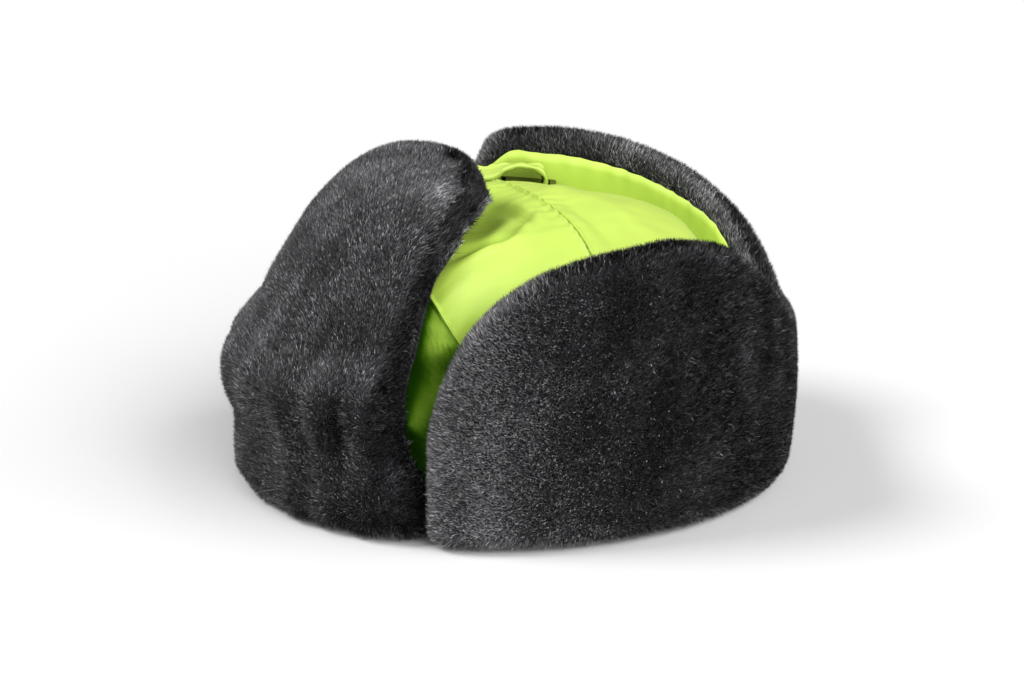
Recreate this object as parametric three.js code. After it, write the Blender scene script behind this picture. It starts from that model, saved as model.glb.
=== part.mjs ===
// A padded winter trapper hat with its fur-faced front flap and its ear and nape flap folded up.
//
// Millimetres, +Z up. The hat stands on its rim. Its front is towards -Y and the wearer's left
// is towards +X. Angles run round the head: 0 is the left ear, 90 the nape, 180 the right ear
// and -90 the forehead. The head's centre line is the Z axis.

import * as THREE from "three";
import { mergeVertices } from "three/addons/utils/BufferGeometryUtils.js";

// Driving sizes
const headHalfWidth = 86;
const headHalfLength = 101;
const crownWall = 5;
const crownHeight = 126;
const clothThickness = 1.5;
const clothGap = 0.4;
const facingFoot = 1.5;
const seamGap = 0.4;
const bandSeamGap = 1;

// How boxy the crown is in profile, at the back and over the forehead: 2 would be an ellipse
const crownBoxiness = 3.7;
const foreheadBoxiness = 2.9;

// The crown's two panels meet on a seam across the top, a little behind its centre
const crossSeamBehind = 16;
const crossSeamLeftAngle = 18;
const crossSeamRightAngle = 181;

// The ear and nape flap: how it stands off the crown, and its fur
const flapFrontAngle = -25.3;
const flapRightAngle = 205.3;
const flapStandOff = 1;
const flapLean = 0.035;
const earFurThickness = 16;
const napeFurThickness = 19;
const flapBulge = 2.5;
const flapEdgeRadius = 9;
const footRadius = 10;
const endRollIn = 11;
const footCornerRise = 5;
const footCornerRadius = 14;

// The front flap: how far its top edge stops before the head's centre, and its round edges
const frontFlapTopGap = 9.5;
const frontFlapFoot = 2;
const frontFlapStandOff = 1.2;
const frontRollIn = 11;
const frontFacingFoot = 0.04;
const frontEdgeRadius = 17;

// The chin strap, which lies in the gutter between crown and flap
const strapWidth = 18;
const strapThickness = 1.6;

// The buckle lies over the gutter at the right ear: a plate with a slot and a bar at each end
const buckleAngle = 167;
const gutterHalfWidth = 83.4;
const gutterHalfLength = 98.2;
const buckleZ = 109.6;
const buckleTilt = -4;
const buckleWidth = 21.7;
const buckleThickness = 2.6;
const plateLength = 17;
const slotLength = 4;
const barLength = 3;
const bucklePlay = 0.25;

// How far the facets gather towards round edges, 0 to 1, and the least share of a fur's
// thickness that is left at its edges and at its foot
const earEasing = 0.35;
const frontEasing = 0.5;
const panelEasing = 0.6;
const earEdgeLeast = 0.2;
const earFootLeast = 0.35;
const frontEdgeLeast = 0.15;
const frontFootLeast = 0.65;

// Facets of each wall: across and up
const facets = {
  band: [54, 4],
  panel: [30, 7],
  earFur: [52, 11],
  earFacing: [44, 4],
  frontFur: [24, 15],
  frontFacing: [20, 10],
};
const strapStepAngle = 5;
const cornerFacets = 4;

// Colours
const furColour = 0x2b2b2d;
const clothColour = 0xb9ec3f;
const strapColour = 0xc6f04c;
const plasticColour = 0x0d0d0e;

// Where the side band ends and the crown begins: the angle from the forehead, and the height
const bandSeam = [
  { fromFront: 0, height: 111 },
  { fromFront: 45, height: 110 },
  { fromFront: 56, height: 106 },
  { fromFront: 61, height: 101 },
  { fromFront: 66, height: 93 },
  { fromFront: 71, height: 84 },
  { fromFront: 80, height: 73 },
  { fromFront: 95, height: 64 },
  { fromFront: 115, height: 58 },
  { fromFront: 180, height: 56 },
];

// The ear and nape flap's top edge, from the left temple round the nape to the right, and how
// far down its inner side the fur rolls
const flapTop = [
  { angle: -25.3, height: 48, roll: 11 },
  { angle: -23, height: 69, roll: 11 },
  { angle: -17, height: 98, roll: 11 },
  { angle: -9, height: 116, roll: 11 },
  { angle: 0, height: 127, roll: 11 },
  { angle: 12, height: 133, roll: 11 },
  { angle: 26, height: 135, roll: 11 },
  { angle: 38, height: 129, roll: 9 },
  { angle: 51, height: 112, roll: 7 },
  { angle: 60, height: 97, roll: 6 },
  { angle: 70, height: 84, roll: 6 },
  { angle: 80, height: 80, roll: 6 },
  { angle: 90, height: 80, roll: 5 },
  { angle: 100, height: 90, roll: 3 },
  { angle: 110, height: 103.5, roll: 4 },
  { angle: 120, height: 113, roll: 7 },
  { angle: 130, height: 121, roll: 9.5 },
  { angle: 148, height: 130, roll: 11 },
  { angle: 162, height: 133, roll: 11 },
  { angle: 170, height: 132.5, roll: 9 },
  { angle: 175, height: 129, roll: 12 },
  { angle: 180, height: 112, roll: 11 },
  { angle: 188, height: 102, roll: 11 },
  { angle: 198, height: 80, roll: 11 },
  { angle: 205.3, height: 48, roll: 11 },
];

// The front flap from its fold at the rim, 0, over the forehead to its top edge, 1: the left
// side edge's angle, which the right side mirrors, and the fur's thickness
const frontFlap = [
  { share: 0, edge: -26.2, thickness: 14.5 },
  { share: 0.03, edge: -26.8, thickness: 14 },
  { share: 0.08, edge: -31.5, thickness: 13.5 },
  { share: 0.15, edge: -33, thickness: 20.5 },
  { share: 0.2, edge: -32.7, thickness: 22.5 },
  { share: 0.24, edge: -32.3, thickness: 19 },
  { share: 0.32, edge: -31, thickness: 12.5 },
  { share: 0.45, edge: -30, thickness: 12 },
  { share: 0.6, edge: -28.5, thickness: 16 },
  { share: 0.75, edge: -26.5, thickness: 20.5 },
  { share: 0.9, edge: -26.5, thickness: 20 },
  { share: 1, edge: -32, thickness: 19.5 },
];

// Soft hollows of the crown: the place on it, the reach either way, the turn and the depth
const crownDents = [
  { x: 4, y: -13, reachX: 52, reachY: 19, turn: -18, depth: 8 },
  { x: 18, y: 32, reachX: 34, reachY: 8, turn: 14, depth: 2 },
  { x: -42, y: 42, reachX: 40, reachY: 34, turn: 0, depth: 2.5 },
];

// The chin strap's long half: from its free end it arches over the buckle's plate and goes down
// through the rear slot. Places are along the buckle from its middle, with the strap's height at
// its edge near the crown and at the one near the flap.
const longOverBuckle = [
  { at: -35, near: 112.6, far: 114 },
  { at: -26, near: 113.6, far: 115 },
  { at: -19, near: 114.8, far: 115.8 },
  { at: -14, near: 115.4, far: 116.6 },
  { at: -10.5, near: 116.8, far: 117.2 },
  { at: -7.5, near: 119.6, far: 117.6 },
  { at: -3.5, near: 121.4, far: 117.6 },
  { at: 3, near: 121.6, far: 117.2 },
  { at: 7.6, near: 120, far: 116.2 },
  { at: 10.1, near: 116.4, far: 114.2 },
  { at: 10.5, near: 112, far: 111.6 },
  { at: 10.5, near: 108.4, far: 108.2 },
  { at: 11.2, near: 106.7, far: 106.6 },
  { at: 13, near: 105.9, far: 105.7 },
  { at: 17, near: 105.6, far: 105.2 },
];

// Then it turns on edge in the gutter, 1, and runs round the nape to the left ear flap
const longInGutter = [
  { angle: 8, height: 108, edge: 1, inside: 4.4 },
  { angle: 26, height: 97, edge: 1, inside: 4.4 },
  { angle: 42, height: 82, edge: 1, inside: 4.4 },
  { angle: 60, height: 67, edge: 1, inside: 4.4 },
  { angle: 85, height: 61, edge: 1, inside: 4.4 },
  { angle: 115, height: 65, edge: 1, inside: 4.4 },
  { angle: 141, height: 79, edge: 1, inside: 4.8 },
  { angle: 148, height: 88, edge: 0.92, inside: 5.6 },
  { angle: 152, height: 94, edge: 0.78, inside: 8 },
  { angle: 156, height: 101.8, edge: 0.45, inside: 10.8 },
];

// The short half: from its sewn end on the right ear flap up to the buckle, round its front bar
// and back on itself
const shortInGutter = [
  { angle: 186, height: 98, edge: 0.5, inside: 7.3 },
  { angle: 189, height: 88, edge: 0.95, inside: 6.1 },
  { angle: 193, height: 78, edge: 1, inside: 4.8 },
];
const shortRoundBar = [
  { at: -25, near: 107, far: 105.5 },
  { at: -20, near: 107.7, far: 107.2 },
  { at: -16, near: 108, far: 108 },
  { at: -13, near: 107.9, far: 107.9 },
  { at: -11.6, near: 108.5, far: 108.5 },
  { at: -10.9, near: 110.4, far: 110.4 },
  { at: -11.6, near: 112.4, far: 112.4 },
  { at: -13, near: 113.2, far: 113.2 },
  { at: -16, near: 113.3, far: 113.3 },
  { at: -20, near: 112.8, far: 112.8 },
  { at: -25, near: 111, far: 111.6 },
];

const degrees = Math.PI / 180;
const clamp = (value, low, high) => Math.min(high, Math.max(low, value));
const mix = (from, to, share) => from + (to - from) * share;

// A smooth curve through a table's rows that doesn't swing past them
function along(rows, key, value, at) {
  const last = rows.length - 2;
  const slope = (i) => (rows[i + 1][value] - rows[i][value]) / (rows[i + 1][key] - rows[i][key]);
  const tangent = (i) => {
    if (i === 0) return slope(0);
    if (i === last + 1) return slope(last);
    const before = slope(i - 1);
    const after = slope(i);
    return before * after <= 0 ? 0 : (2 * before * after) / (before + after);
  };
  const inside = clamp(at, rows[0][key], rows[last + 1][key]);
  let i = 0;
  while (i < last && inside > rows[i + 1][key]) i += 1;
  const width = rows[i + 1][key] - rows[i][key];
  const s = (inside - rows[i][key]) / width;
  const rise = rows[i + 1][value] - rows[i][value];
  const start = (1 - s) * (tangent(i) * width - rise);
  const end = s * (rise - tangent(i + 1) * width);
  return rows[i][value] + rise * s + s * (1 - s) * (start + end);
}

// A closed piece between an outer and an inner surface, both given over u and v from 0 to 1,
// with u running round the head and v upwards. A ring joins its two ends.
function shell(outer, inner, across, up, ring = false) {
  const points = [];
  const faces = [];
  const row = across + 1;
  for (const surface of [outer, inner]) {
    for (let j = 0; j <= up; j += 1) {
      for (let i = 0; i <= across; i += 1) {
        const turn = ring && i === across ? 0 : i / across;
        points.push(...surface(turn, j / up).toArray());
      }
    }
  }
  const far = row * (up + 1);
  const quad = (a, b, c, d) => faces.push(a, b, c, a, c, d);
  for (let j = 0; j < up; j += 1) {
    for (let i = 0; i < across; i += 1) {
      const a = j * row + i;
      quad(a, a + 1, a + row + 1, a + row);
      quad(far + a, far + a + row, far + a + row + 1, far + a + 1);
    }
  }
  for (let i = 0; i < across; i += 1) {
    const top = up * row + i;
    quad(far + i, far + i + 1, i + 1, i);
    quad(top, top + 1, far + top + 1, far + top);
  }
  for (let j = 0; j < up && !ring; j += 1) {
    const a = j * row;
    const b = a + across;
    quad(a, a + row, far + a + row, far + a);
    quad(far + b, far + b + row, b + row, b);
  }
  return welded(points, faces);
}

// Joins points that meet and drops the faces that vanish with them
function welded(points, faces) {
  const loose = new THREE.BufferGeometry();
  loose.setAttribute("position", new THREE.Float32BufferAttribute(points, 3));
  loose.setIndex(faces);
  const geometry = mergeVertices(loose, 1e-3);
  const index = geometry.index.array;
  const kept = [];
  for (let i = 0; i < index.length; i += 3) {
    const [a, b, c] = [index[i], index[i + 1], index[i + 2]];
    if (a !== b && b !== c && c !== a) kept.push(a, b, c);
  }
  geometry.setIndex(kept);
  return geometry;
}

// The crown's side profile is boxier at the back than over the forehead
function boxiness(angle) {
  const forward = clamp(-Math.sin(angle * degrees), 0, 1);
  return mix(crownBoxiness, foreheadBoxiness, forward * forward);
}

// How far out the crown is, as a share of the rim, at a place on its profile: 0 rim, 1 top
function crownReach(angle, place) {
  return Math.pow(Math.max(Math.cos(place * Math.PI / 2), 0), 2 / boxiness(angle));
}

function dentDepth(x, y) {
  let depth = 0;
  for (const dent of crownDents) {
    const c = Math.cos(dent.turn * degrees);
    const s = Math.sin(dent.turn * degrees);
    const lengthways = ((x - dent.x) * c + (y - dent.y) * s) / dent.reachX;
    const across = ((y - dent.y) * c - (x - dent.x) * s) / dent.reachY;
    depth += dent.depth * Math.exp(-2 * (lengthways * lengthways + across * across));
  }
  return depth;
}

// A point of the crown from its angle and reach, set out from its outer face by a distance
function crownAt(angle, reach, out, dented = true, rise = null) {
  const n = boxiness(angle);
  const up = rise ?? Math.pow(1 - Math.pow(reach, n), 1 / n);
  const a = headHalfWidth + crownWall;
  const b = headHalfLength + crownWall;
  const cos = Math.cos(angle * degrees);
  const sin = Math.sin(angle * degrees);
  const side = Math.pow(reach, n - 1);
  const normal = new THREE.Vector3(side * cos / a, side * sin / b, Math.pow(up, n - 1) / crownHeight);
  normal.normalize();
  const point = new THREE.Vector3(a * reach * cos, b * reach * sin, crownHeight * up);
  const sunk = dented ? dentDepth(point.x, point.y) * normal.z : 0;
  return point.addScaledVector(normal, out - sunk);
}

// The same from its angle and its place on the profile
function crownPoint(angle, place, out, dented = true) {
  const rise = Math.pow(Math.sin(place * Math.PI / 2), 2 / boxiness(angle));
  return crownAt(angle, crownReach(angle, place), out, dented, rise);
}

// The place on the profile where the crown is at a height
function placeAtHeight(angle, height) {
  const n = boxiness(angle);
  const sin = Math.pow(clamp(height / crownHeight, 0, 1), n / 2);
  return Math.asin(sin) / (Math.PI / 2);
}

const fromFront = (angle) => Math.abs(((angle + 630) % 360) - 180);
const bandHeight = (angle) => along(bandSeam, "fromFront", "height", fromFront(angle));

// The band round the head, from the rim up to its seam with the crown
function sideBand() {
  const wall = (out) => (u, v) => {
    const angle = -90 + 360 * u;
    const topPlace = placeAtHeight(angle, bandHeight(angle) - bandSeamGap);
    const point = crownPoint(angle, topPlace * Math.sqrt(v), out);
    if (v === 0) point.z = 0;
    return point;
  };
  return shell(wall(0), wall(-crownWall), ...facets.band, true);
}

// A crown panel fans out from a point of the cross seam to its stretch of the band's seam
function crownPanel(fromAngle, toAngle, side) {
  const b = headHalfLength + crownWall;
  const trim = seamGap / 2 / b;
  const poleY = crossSeamBehind / b + side * trim;
  const wall = (out) => (u, v) => {
    const angle = mix(fromAngle + trim / degrees, toAngle - trim / degrees, u);
    const rim = crownReach(angle, placeAtHeight(angle, bandHeight(angle)));
    const share = Math.pow(Math.cos(v * Math.PI / 2), panelEasing);
    const planX = rim * Math.cos(angle * degrees) * share;
    const planY = mix(poleY, rim * Math.sin(angle * degrees), share);
    return crownAt(Math.atan2(planY, planX) / degrees, Math.min(Math.hypot(planX, planY), 1), out);
  };
  return shell(wall(0), wall(-crownWall), ...facets.panel);
}

// A fur edge is round: the share of its thickness at a distance in from the edge
function roundEdge(distance, radius, least) {
  const s = clamp(1 - distance / radius, 0, 1);
  return Math.max(least, Math.sqrt(1 - s * s));
}

// Closer steps towards both ends of a run, where the edges are round
const easedEnds = (share) => 0.5 - 0.5 * Math.cos(Math.PI * share);

const flapHeight = (angle) => along(flapTop, "angle", "height", angle);

// The fur of the ear and nape flap starts this far out of the crown's rim, and leans out
function flapPoint(angle, height, out) {
  const start = crownWall + flapStandOff + clothThickness + clothGap + flapLean * height;
  const a = headHalfWidth + start + out;
  const b = headHalfLength + start + out;
  return new THREE.Vector3(a * Math.cos(angle * degrees), b * Math.sin(angle * degrees), height);
}

function earNapeFur() {
  const surface = (outside) => (u, v) => {
    const angle = mix(flapFrontAngle, flapRightAngle, mix(u, easedEnds(u), earEasing));
    const toEnd = Math.min(angle - flapFrontAngle, flapRightAngle - angle) * degrees * headHalfLength;
    const foot = footCornerRise * (1 - roundEdge(toEnd, footCornerRadius, 0));
    const top = flapHeight(angle);
    const height = mix(foot, top, easedEnds(v));
    const back = clamp(Math.sin(angle * degrees), 0, 1);
    const half = mix(earFurThickness, napeFurThickness, back * back) / 2;
    const edge = roundEdge(Math.min(top - height, toEnd), flapEdgeRadius, earEdgeLeast);
    const bottom = roundEdge(height - foot, footRadius, earFootLeast);
    const bulge = flapBulge * Math.sin(Math.PI * height / top) * edge;
    return flapPoint(angle, height, outside ? half + half * edge * bottom + bulge : half - half * edge);
  };
  return shell(surface(true), surface(false), ...facets.earFur);
}

function earNapeFacing() {
  const inset = endRollIn / headHalfLength / degrees;
  const surface = (out) => (u, v) => {
    const angle = mix(flapFrontAngle + inset, flapRightAngle - inset, u);
    const top = flapHeight(angle) - along(flapTop, "angle", "roll", angle);
    return flapPoint(angle, mix(facingFoot, top, v), out);
  };
  return shell(surface(-clothGap), surface(-clothGap - clothThickness), ...facets.earFacing);
}

// A place on the front flap: across from its right side to its left, and up from its fold
function frontFlapPlace(across, up, inset) {
  const insetAngle = inset / headHalfWidth / degrees;
  const edge = along(frontFlap, "share", "edge", up) - insetAngle;
  const angle = mix(-180 - edge, edge, across);
  const topReach = (frontFlapTopGap + inset) / (headHalfLength + crownWall);
  const reach = topReach / -Math.sin(angle * degrees);
  const topPlace = Math.acos(Math.pow(reach, boxiness(angle) / 2)) / (Math.PI / 2);
  return { angle, edge, place: up * topPlace };
}

function frontFlapFur() {
  const stand = frontFlapStandOff + clothThickness + clothGap;
  const surface = (outside) => (u, v) => {
    const up = mix(v, easedEnds(v), frontEasing);
    const { angle, edge, place } = frontFlapPlace(easedEnds(u), up, 0);
    const base = crownPoint(angle, place, 0, false);
    const toSide = Math.min(angle + 180 + edge, edge - angle) * degrees * Math.hypot(base.x, base.y);
    const toTop = -frontFlapTopGap - base.y;
    const edges = roundEdge(Math.min(toSide, toTop), frontEdgeRadius, frontEdgeLeast);
    const foot = roundEdge(base.z, footRadius, frontFootLeast);
    const thickness = along(frontFlap, "share", "thickness", up) * edges * foot;
    const point = crownPoint(angle, place, outside ? stand + thickness : stand, false);
    point.z = Math.max(point.z, frontFlapFoot);
    return point;
  };
  return shell(surface(true), surface(false), ...facets.frontFur);
}

function frontFlapFacing() {
  const surface = (out) => (u, v) => {
    const { angle, place } = frontFlapPlace(u, mix(frontFacingFoot, 1, v), frontRollIn);
    return crownPoint(angle, place, frontFlapStandOff + out, false);
  };
  return shell(surface(clothThickness), surface(0), ...facets.frontFacing);
}

// A strap of even width along a row of places, each with the way its width points
function strap(places) {
  const route = new THREE.CatmullRomCurve3(places.map((place) => place.centre), false, "centripetal");
  const last = places.length - 1;
  const face = (thickSide) => (u, v) => {
    const i = Math.min(Math.floor(u * last), last - 1);
    const forward = route.getTangent(u);
    const wide = places[i].wide.clone().lerp(places[i + 1].wide, u * last - i);
    wide.addScaledVector(forward, -wide.dot(forward)).normalize();
    const thick = new THREE.Vector3().crossVectors(wide, forward);
    return route.getPoint(u)
      .addScaledVector(wide, (v - 0.5) * strapWidth)
      .addScaledVector(thick, thickSide * strapThickness / 2);
  };
  return shell(face(-1), face(1), 2 * last, 1);
}

// The buckle's middle, the way out from the head there, and the way to the buckle's rear end
function buckleSeat() {
  const x = Math.cos(buckleAngle * degrees);
  const y = Math.sin(buckleAngle * degrees);
  const outward = new THREE.Vector3(x / gutterHalfWidth, y / gutterHalfLength, 0).normalize();
  const rearward = new THREE.Vector3(outward.y, -outward.x, 0);
  return { centre: new THREE.Vector3(gutterHalfWidth * x, gutterHalfLength * y, 0), outward, rearward };
}

function flatAtBuckle(rows) {
  const { centre, outward, rearward } = buckleSeat();
  return rows.map(({ at, near, far }) => ({
    centre: centre.clone().addScaledVector(rearward, at).setZ((near + far) / 2),
    wide: outward.clone().multiplyScalar(strapWidth).setZ(far - near).normalize(),
  }));
}

// Places every few degrees in the gutter, from a table's last angle to its first
function inGutter(rows) {
  const from = rows[rows.length - 1].angle;
  const to = rows[0].angle;
  const count = Math.ceil((from - to) / strapStepAngle);
  const places = [];
  for (let i = 0; i <= count; i += 1) {
    const angle = mix(from, to, i / count);
    const outward = new THREE.Vector3(Math.cos(angle * degrees), Math.sin(angle * degrees), 0);
    const up = new THREE.Vector3(0, 0, 1);
    const height = along(rows, "angle", "height", angle);
    const inside = along(rows, "angle", "inside", angle);
    places.push({
      centre: flapPoint(angle, height, -inside),
      wide: outward.lerp(up, along(rows, "angle", "edge", angle)).normalize(),
    });
  }
  return places;
}

function chinStrapLong() {
  return strap([...flatAtBuckle(longOverBuckle), ...inGutter(longInGutter)]);
}

function chinStrapShort() {
  return strap([...inGutter(shortInGutter), ...flatAtBuckle(shortRoundBar)]);
}

// The buckle is a flat plate with a slot and a bar at each end
function strapBuckle() {
  const outline = new THREE.Shape();
  const halfWidth = buckleWidth / 2;
  const slotNear = plateLength / 2;
  const slotFar = slotNear + slotLength;
  const corner = 0.8 * barLength;
  const halfLength = slotFar + barLength;
  outline.absarc(halfWidth - corner, halfLength - corner, corner, 0, Math.PI / 2);
  outline.absarc(corner - halfWidth, halfLength - corner, corner, Math.PI / 2, Math.PI);
  outline.absarc(corner - halfWidth, corner - halfLength, corner, Math.PI, 1.5 * Math.PI);
  outline.absarc(halfWidth - corner, corner - halfLength, corner, 1.5 * Math.PI, 2 * Math.PI);
  const halfSlot = strapWidth / 2 + bucklePlay;
  for (const end of [-1, 1]) {
    const slot = new THREE.Path();
    slot.moveTo(-halfSlot, end * slotNear);
    slot.lineTo(halfSlot, end * slotNear);
    slot.lineTo(halfSlot, end * slotFar);
    slot.lineTo(-halfSlot, end * slotFar);
    slot.closePath();
    outline.holes.push(slot);
  }
  const depth = buckleThickness;
  const settings = { depth, bevelEnabled: false, curveSegments: cornerFacets };
  const geometry = new THREE.ExtrudeGeometry(outline, settings);
  geometry.translate(0, 0, -depth / 2);
  return geometry;
}

function material(colour, roughness) {
  return new THREE.MeshStandardMaterial({ color: colour, roughness, metalness: 0 });
}

function named(name, geometry, finish) {
  geometry.computeVertexNormals();
  const mesh = new THREE.Mesh(geometry, finish);
  mesh.name = name;
  return mesh;
}

const cloth = () => material(clothColour, 0.6);
const fur = () => material(furColour, 0.95);
const webbing = () => material(strapColour, 0.6);

const hat = new THREE.Group();
hat.add(named("side_band", sideBand(), cloth()));
hat.add(named("crown_front_panel", crownPanel(crossSeamRightAngle - 360, crossSeamLeftAngle, -1), cloth()));
hat.add(named("crown_rear_panel", crownPanel(crossSeamLeftAngle, crossSeamRightAngle, 1), cloth()));
hat.add(named("ear_nape_flap_fur", earNapeFur(), fur()));
hat.add(named("ear_nape_flap_facing", earNapeFacing(), cloth()));
hat.add(named("front_flap_fur", frontFlapFur(), fur()));
hat.add(named("front_flap_facing", frontFlapFacing(), cloth()));
hat.add(named("chin_strap_long", chinStrapLong(), webbing()));
hat.add(named("chin_strap_short", chinStrapShort(), webbing()));

const buckle = named("strap_buckle", strapBuckle(), material(plasticColour, 0.25));
const seat = buckleSeat();
buckle.position.copy(seat.centre).setZ(buckleZ);
buckle.rotation.order = "ZXY";
buckle.rotation.z = Math.atan2(-seat.rearward.x, seat.rearward.y);
buckle.rotation.x = buckleTilt * degrees;
hat.add(buckle);

// The model's origin is the middle of its box, at the rim it stands on
const box = new THREE.Box3().setFromObject(hat);
const middle = box.getCenter(new THREE.Vector3());
hat.position.set(-middle.x, -middle.y, -box.min.z);

export default hat;
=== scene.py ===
import math

import bmesh
import bpy
import numpy as np
from bpy.props import FloatProperty, IntProperty, PointerProperty, StringProperty
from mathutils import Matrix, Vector


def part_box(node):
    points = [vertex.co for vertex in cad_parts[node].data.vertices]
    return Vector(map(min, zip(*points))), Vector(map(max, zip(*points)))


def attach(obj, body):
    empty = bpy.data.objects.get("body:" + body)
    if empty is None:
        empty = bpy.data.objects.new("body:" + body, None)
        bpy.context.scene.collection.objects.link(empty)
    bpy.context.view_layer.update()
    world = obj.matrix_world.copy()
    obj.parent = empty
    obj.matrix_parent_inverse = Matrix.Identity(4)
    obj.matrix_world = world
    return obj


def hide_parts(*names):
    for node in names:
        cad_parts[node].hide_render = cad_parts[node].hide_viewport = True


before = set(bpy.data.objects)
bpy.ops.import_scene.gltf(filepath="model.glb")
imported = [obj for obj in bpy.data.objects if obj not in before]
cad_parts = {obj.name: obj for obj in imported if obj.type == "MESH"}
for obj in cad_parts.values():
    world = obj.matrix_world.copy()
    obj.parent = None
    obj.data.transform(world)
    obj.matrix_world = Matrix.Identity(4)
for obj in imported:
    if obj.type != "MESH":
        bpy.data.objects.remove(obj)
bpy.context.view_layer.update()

bl_info = {
    "name": "Winter hat",
    "version": (1, 0, 0),
    "blender": (4, 5, 0),
    "location": "3D View > Sidebar > Hat",
    "description": "A padded winter trapper hat with its fur flaps folded up",
    "category": "Add Mesh",
}

# Everything is in metres. The front is towards -Y and the wearer's left towards +X. Angles run
# round the head in degrees: 0 is the left ear, 90 the nape, 180 the right ear, -90 the forehead.
# The tables are in millimetres.
MM = 0.001
CLOTH_STEPS = 20
BAND_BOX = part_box("side_band")
HEAD_CENTRE = np.array([(BAND_BOX[0].x + BAND_BOX[1].x) / 2, (BAND_BOX[0].y + BAND_BOX[1].y) / 2, 0])


def table(columns, *rows):
    """One array for each named column."""
    return dict(zip(columns.split(), np.array(rows, float).T))


# Where the side band ends and the crown begins
BAND_SEAM = table(
    "from_front height",
    (0, 111),
    (45, 110),
    (56, 106),
    (61, 101),
    (66, 93),
    (71, 84),
    (80, 73),
    (95, 64),
    (115, 58),
    (180, 56),
)

# The ear and nape flap's top edge, and how far down its inner side the fur rolls
FLAP_TOP = table(
    "angle height roll",
    (-25.3, 48, 11),
    (-23, 69, 11),
    (-17, 98, 11),
    (-9, 116, 11),
    (0, 127, 11),
    (12, 133, 11),
    (26, 135, 11),
    (38, 129, 9),
    (51, 112, 7),
    (60, 97, 6),
    (70, 84, 6),
    (80, 80, 6),
    (90, 80, 5),
    (100, 90, 3),
    (110, 103.5, 4),
    (120, 113, 7),
    (130, 121, 9.5),
    (148, 130, 11),
    (162, 133, 11),
    (170, 132.5, 9),
    (175, 129, 12),
    (180, 112, 11),
    (188, 102, 11),
    (198, 80, 11),
    (205.3, 48, 11),
)

# The front flap from its fold at the rim, 0, over the forehead to its top edge, 1: its left
# edge's angle, which the right one mirrors, and the fur's thickness
FRONT_FLAP = table(
    "share edge thickness",
    (0, -26.2, 14.5),
    (0.03, -26.8, 14),
    (0.08, -31.5, 13.5),
    (0.15, -33, 20.5),
    (0.2, -32.7, 22.5),
    (0.24, -32.3, 19),
    (0.32, -31, 12.5),
    (0.45, -30, 12),
    (0.6, -28.5, 16),
    (0.75, -26.5, 20.5),
    (0.9, -26.5, 20),
    (1, -32, 19.5),
)

# Soft hollows of the crown: the place on it, the reach either way, the turn and the depth
CROWN_DENTS = table(
    "x y reach_along reach_across turn depth",
    (4, -13, 52, 19, -18, 8),
    (18, 32, 34, 8, 14, 2),
    (-42, 42, 40, 34, 0, 2.5),
)

# Folds across the band beside the ear flap: the angle and height of the middle, the reach along
# and across, the slope and the depth, which is a ridge where it is negative
BAND_FOLDS = table(
    "angle height reach_along reach_across slope depth",
    (-30, 86, 20, 4, -0.2, -1.2),
    (-32, 70, 26, 8, 0.2, 5),
    (-31, 53, 24, 6, -0.15, -2.5),
    (-33, 41, 26, 6, 0.2, 4),
    (-30, 28, 24, 5, -0.15, -2),
    (-31, 15, 26, 7, 0, 3),
)

# Soft folds of the crown's cloth on top of that, which are too shallow for its solids: the place
# in plan, the reach along and across, the turn and the height
CROWN_FOLDS = table(
    "x y reach_along reach_across turn height",
    (52, -19, 18, 2.8, -72, 2.4),
    (36, 2, 17, 3, -28, 2.2),
    (12, 8, 17, 3, 12, 1.7),
    (46.5, -21, 17, 3.6, -72, -2.8),
    (33, -3, 17, 3.6, -28, -2.8),
    (13, 2.5, 17, 3.6, 12, -2.2),
    (62, -4, 26, 6, -60, -1.4),
    (70, -30, 18, 3.5, -35, 0.5),
    (30, 34, 30, 4, 10, -1.2),
    (10, 46, 34, 5, 25, 1.2),
    (-30, 30, 30, 5, -30, 1.4),
    (50, 52, 30, 5, -40, 1.4),
    (-55, 8, 22, 4, 60, 1.3),
    (0, 80, 34, 5, 5, 1.3),
)

# The long strap's way over the buckle: places along the buckle from its middle, with the
# strap's height at its edge near the crown and at the one near the flap
LONG_OVER_BUCKLE = table(
    "at near far",
    (-35, 112.6, 114),
    (-26, 113.6, 115),
    (-19, 114.8, 115.8),
    (-14, 115.4, 116.6),
    (-10.5, 116.8, 117.2),
    (-7.5, 119.6, 117.6),
    (-3.5, 121.4, 117.6),
    (3, 121.6, 117.2),
    (7.6, 120, 116.2),
    (10.1, 116.4, 114.2),
    (10.5, 112, 111.6),
    (10.5, 108.4, 108.2),
    (11.2, 106.7, 106.6),
    (13, 105.9, 105.7),
    (17, 105.6, 105.2),
)

# Then the gutter between crown and flap: the height, how far the strap stands on edge, 1, and
# how far inside the flap's facing it runs
LONG_IN_GUTTER = table(
    "angle height edge inside",
    (8, 108, 1, 4.4),
    (26, 97, 1, 4.4),
    (42, 82, 1, 4.4),
    (60, 67, 1, 4.4),
    (85, 61, 1, 4.4),
    (115, 65, 1, 4.4),
    (141, 79, 1, 4.8),
    (148, 88, 0.92, 5.6),
    (152, 94, 0.78, 8),
    (156, 101.8, 0.45, 10.8),
)
SHORT_IN_GUTTER = table(
    "angle height edge inside",
    (186, 98, 0.5, 7.3),
    (189, 88, 0.95, 6.1),
    (193, 78, 1, 4.8),
)
SHORT_ROUND_BAR = table(
    "at near far",
    (-25, 107, 105.5),
    (-20, 107.7, 107.2),
    (-16, 108, 108),
    (-13, 107.9, 107.9),
    (-11.6, 108.5, 108.5),
    (-10.9, 110.4, 110.4),
    (-11.6, 112.4, 112.4),
    (-13, 113.2, 113.2),
    (-16, 113.3, 113.3),
    (-20, 112.8, 112.8),
    (-25, 111, 111.6),
)

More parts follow.
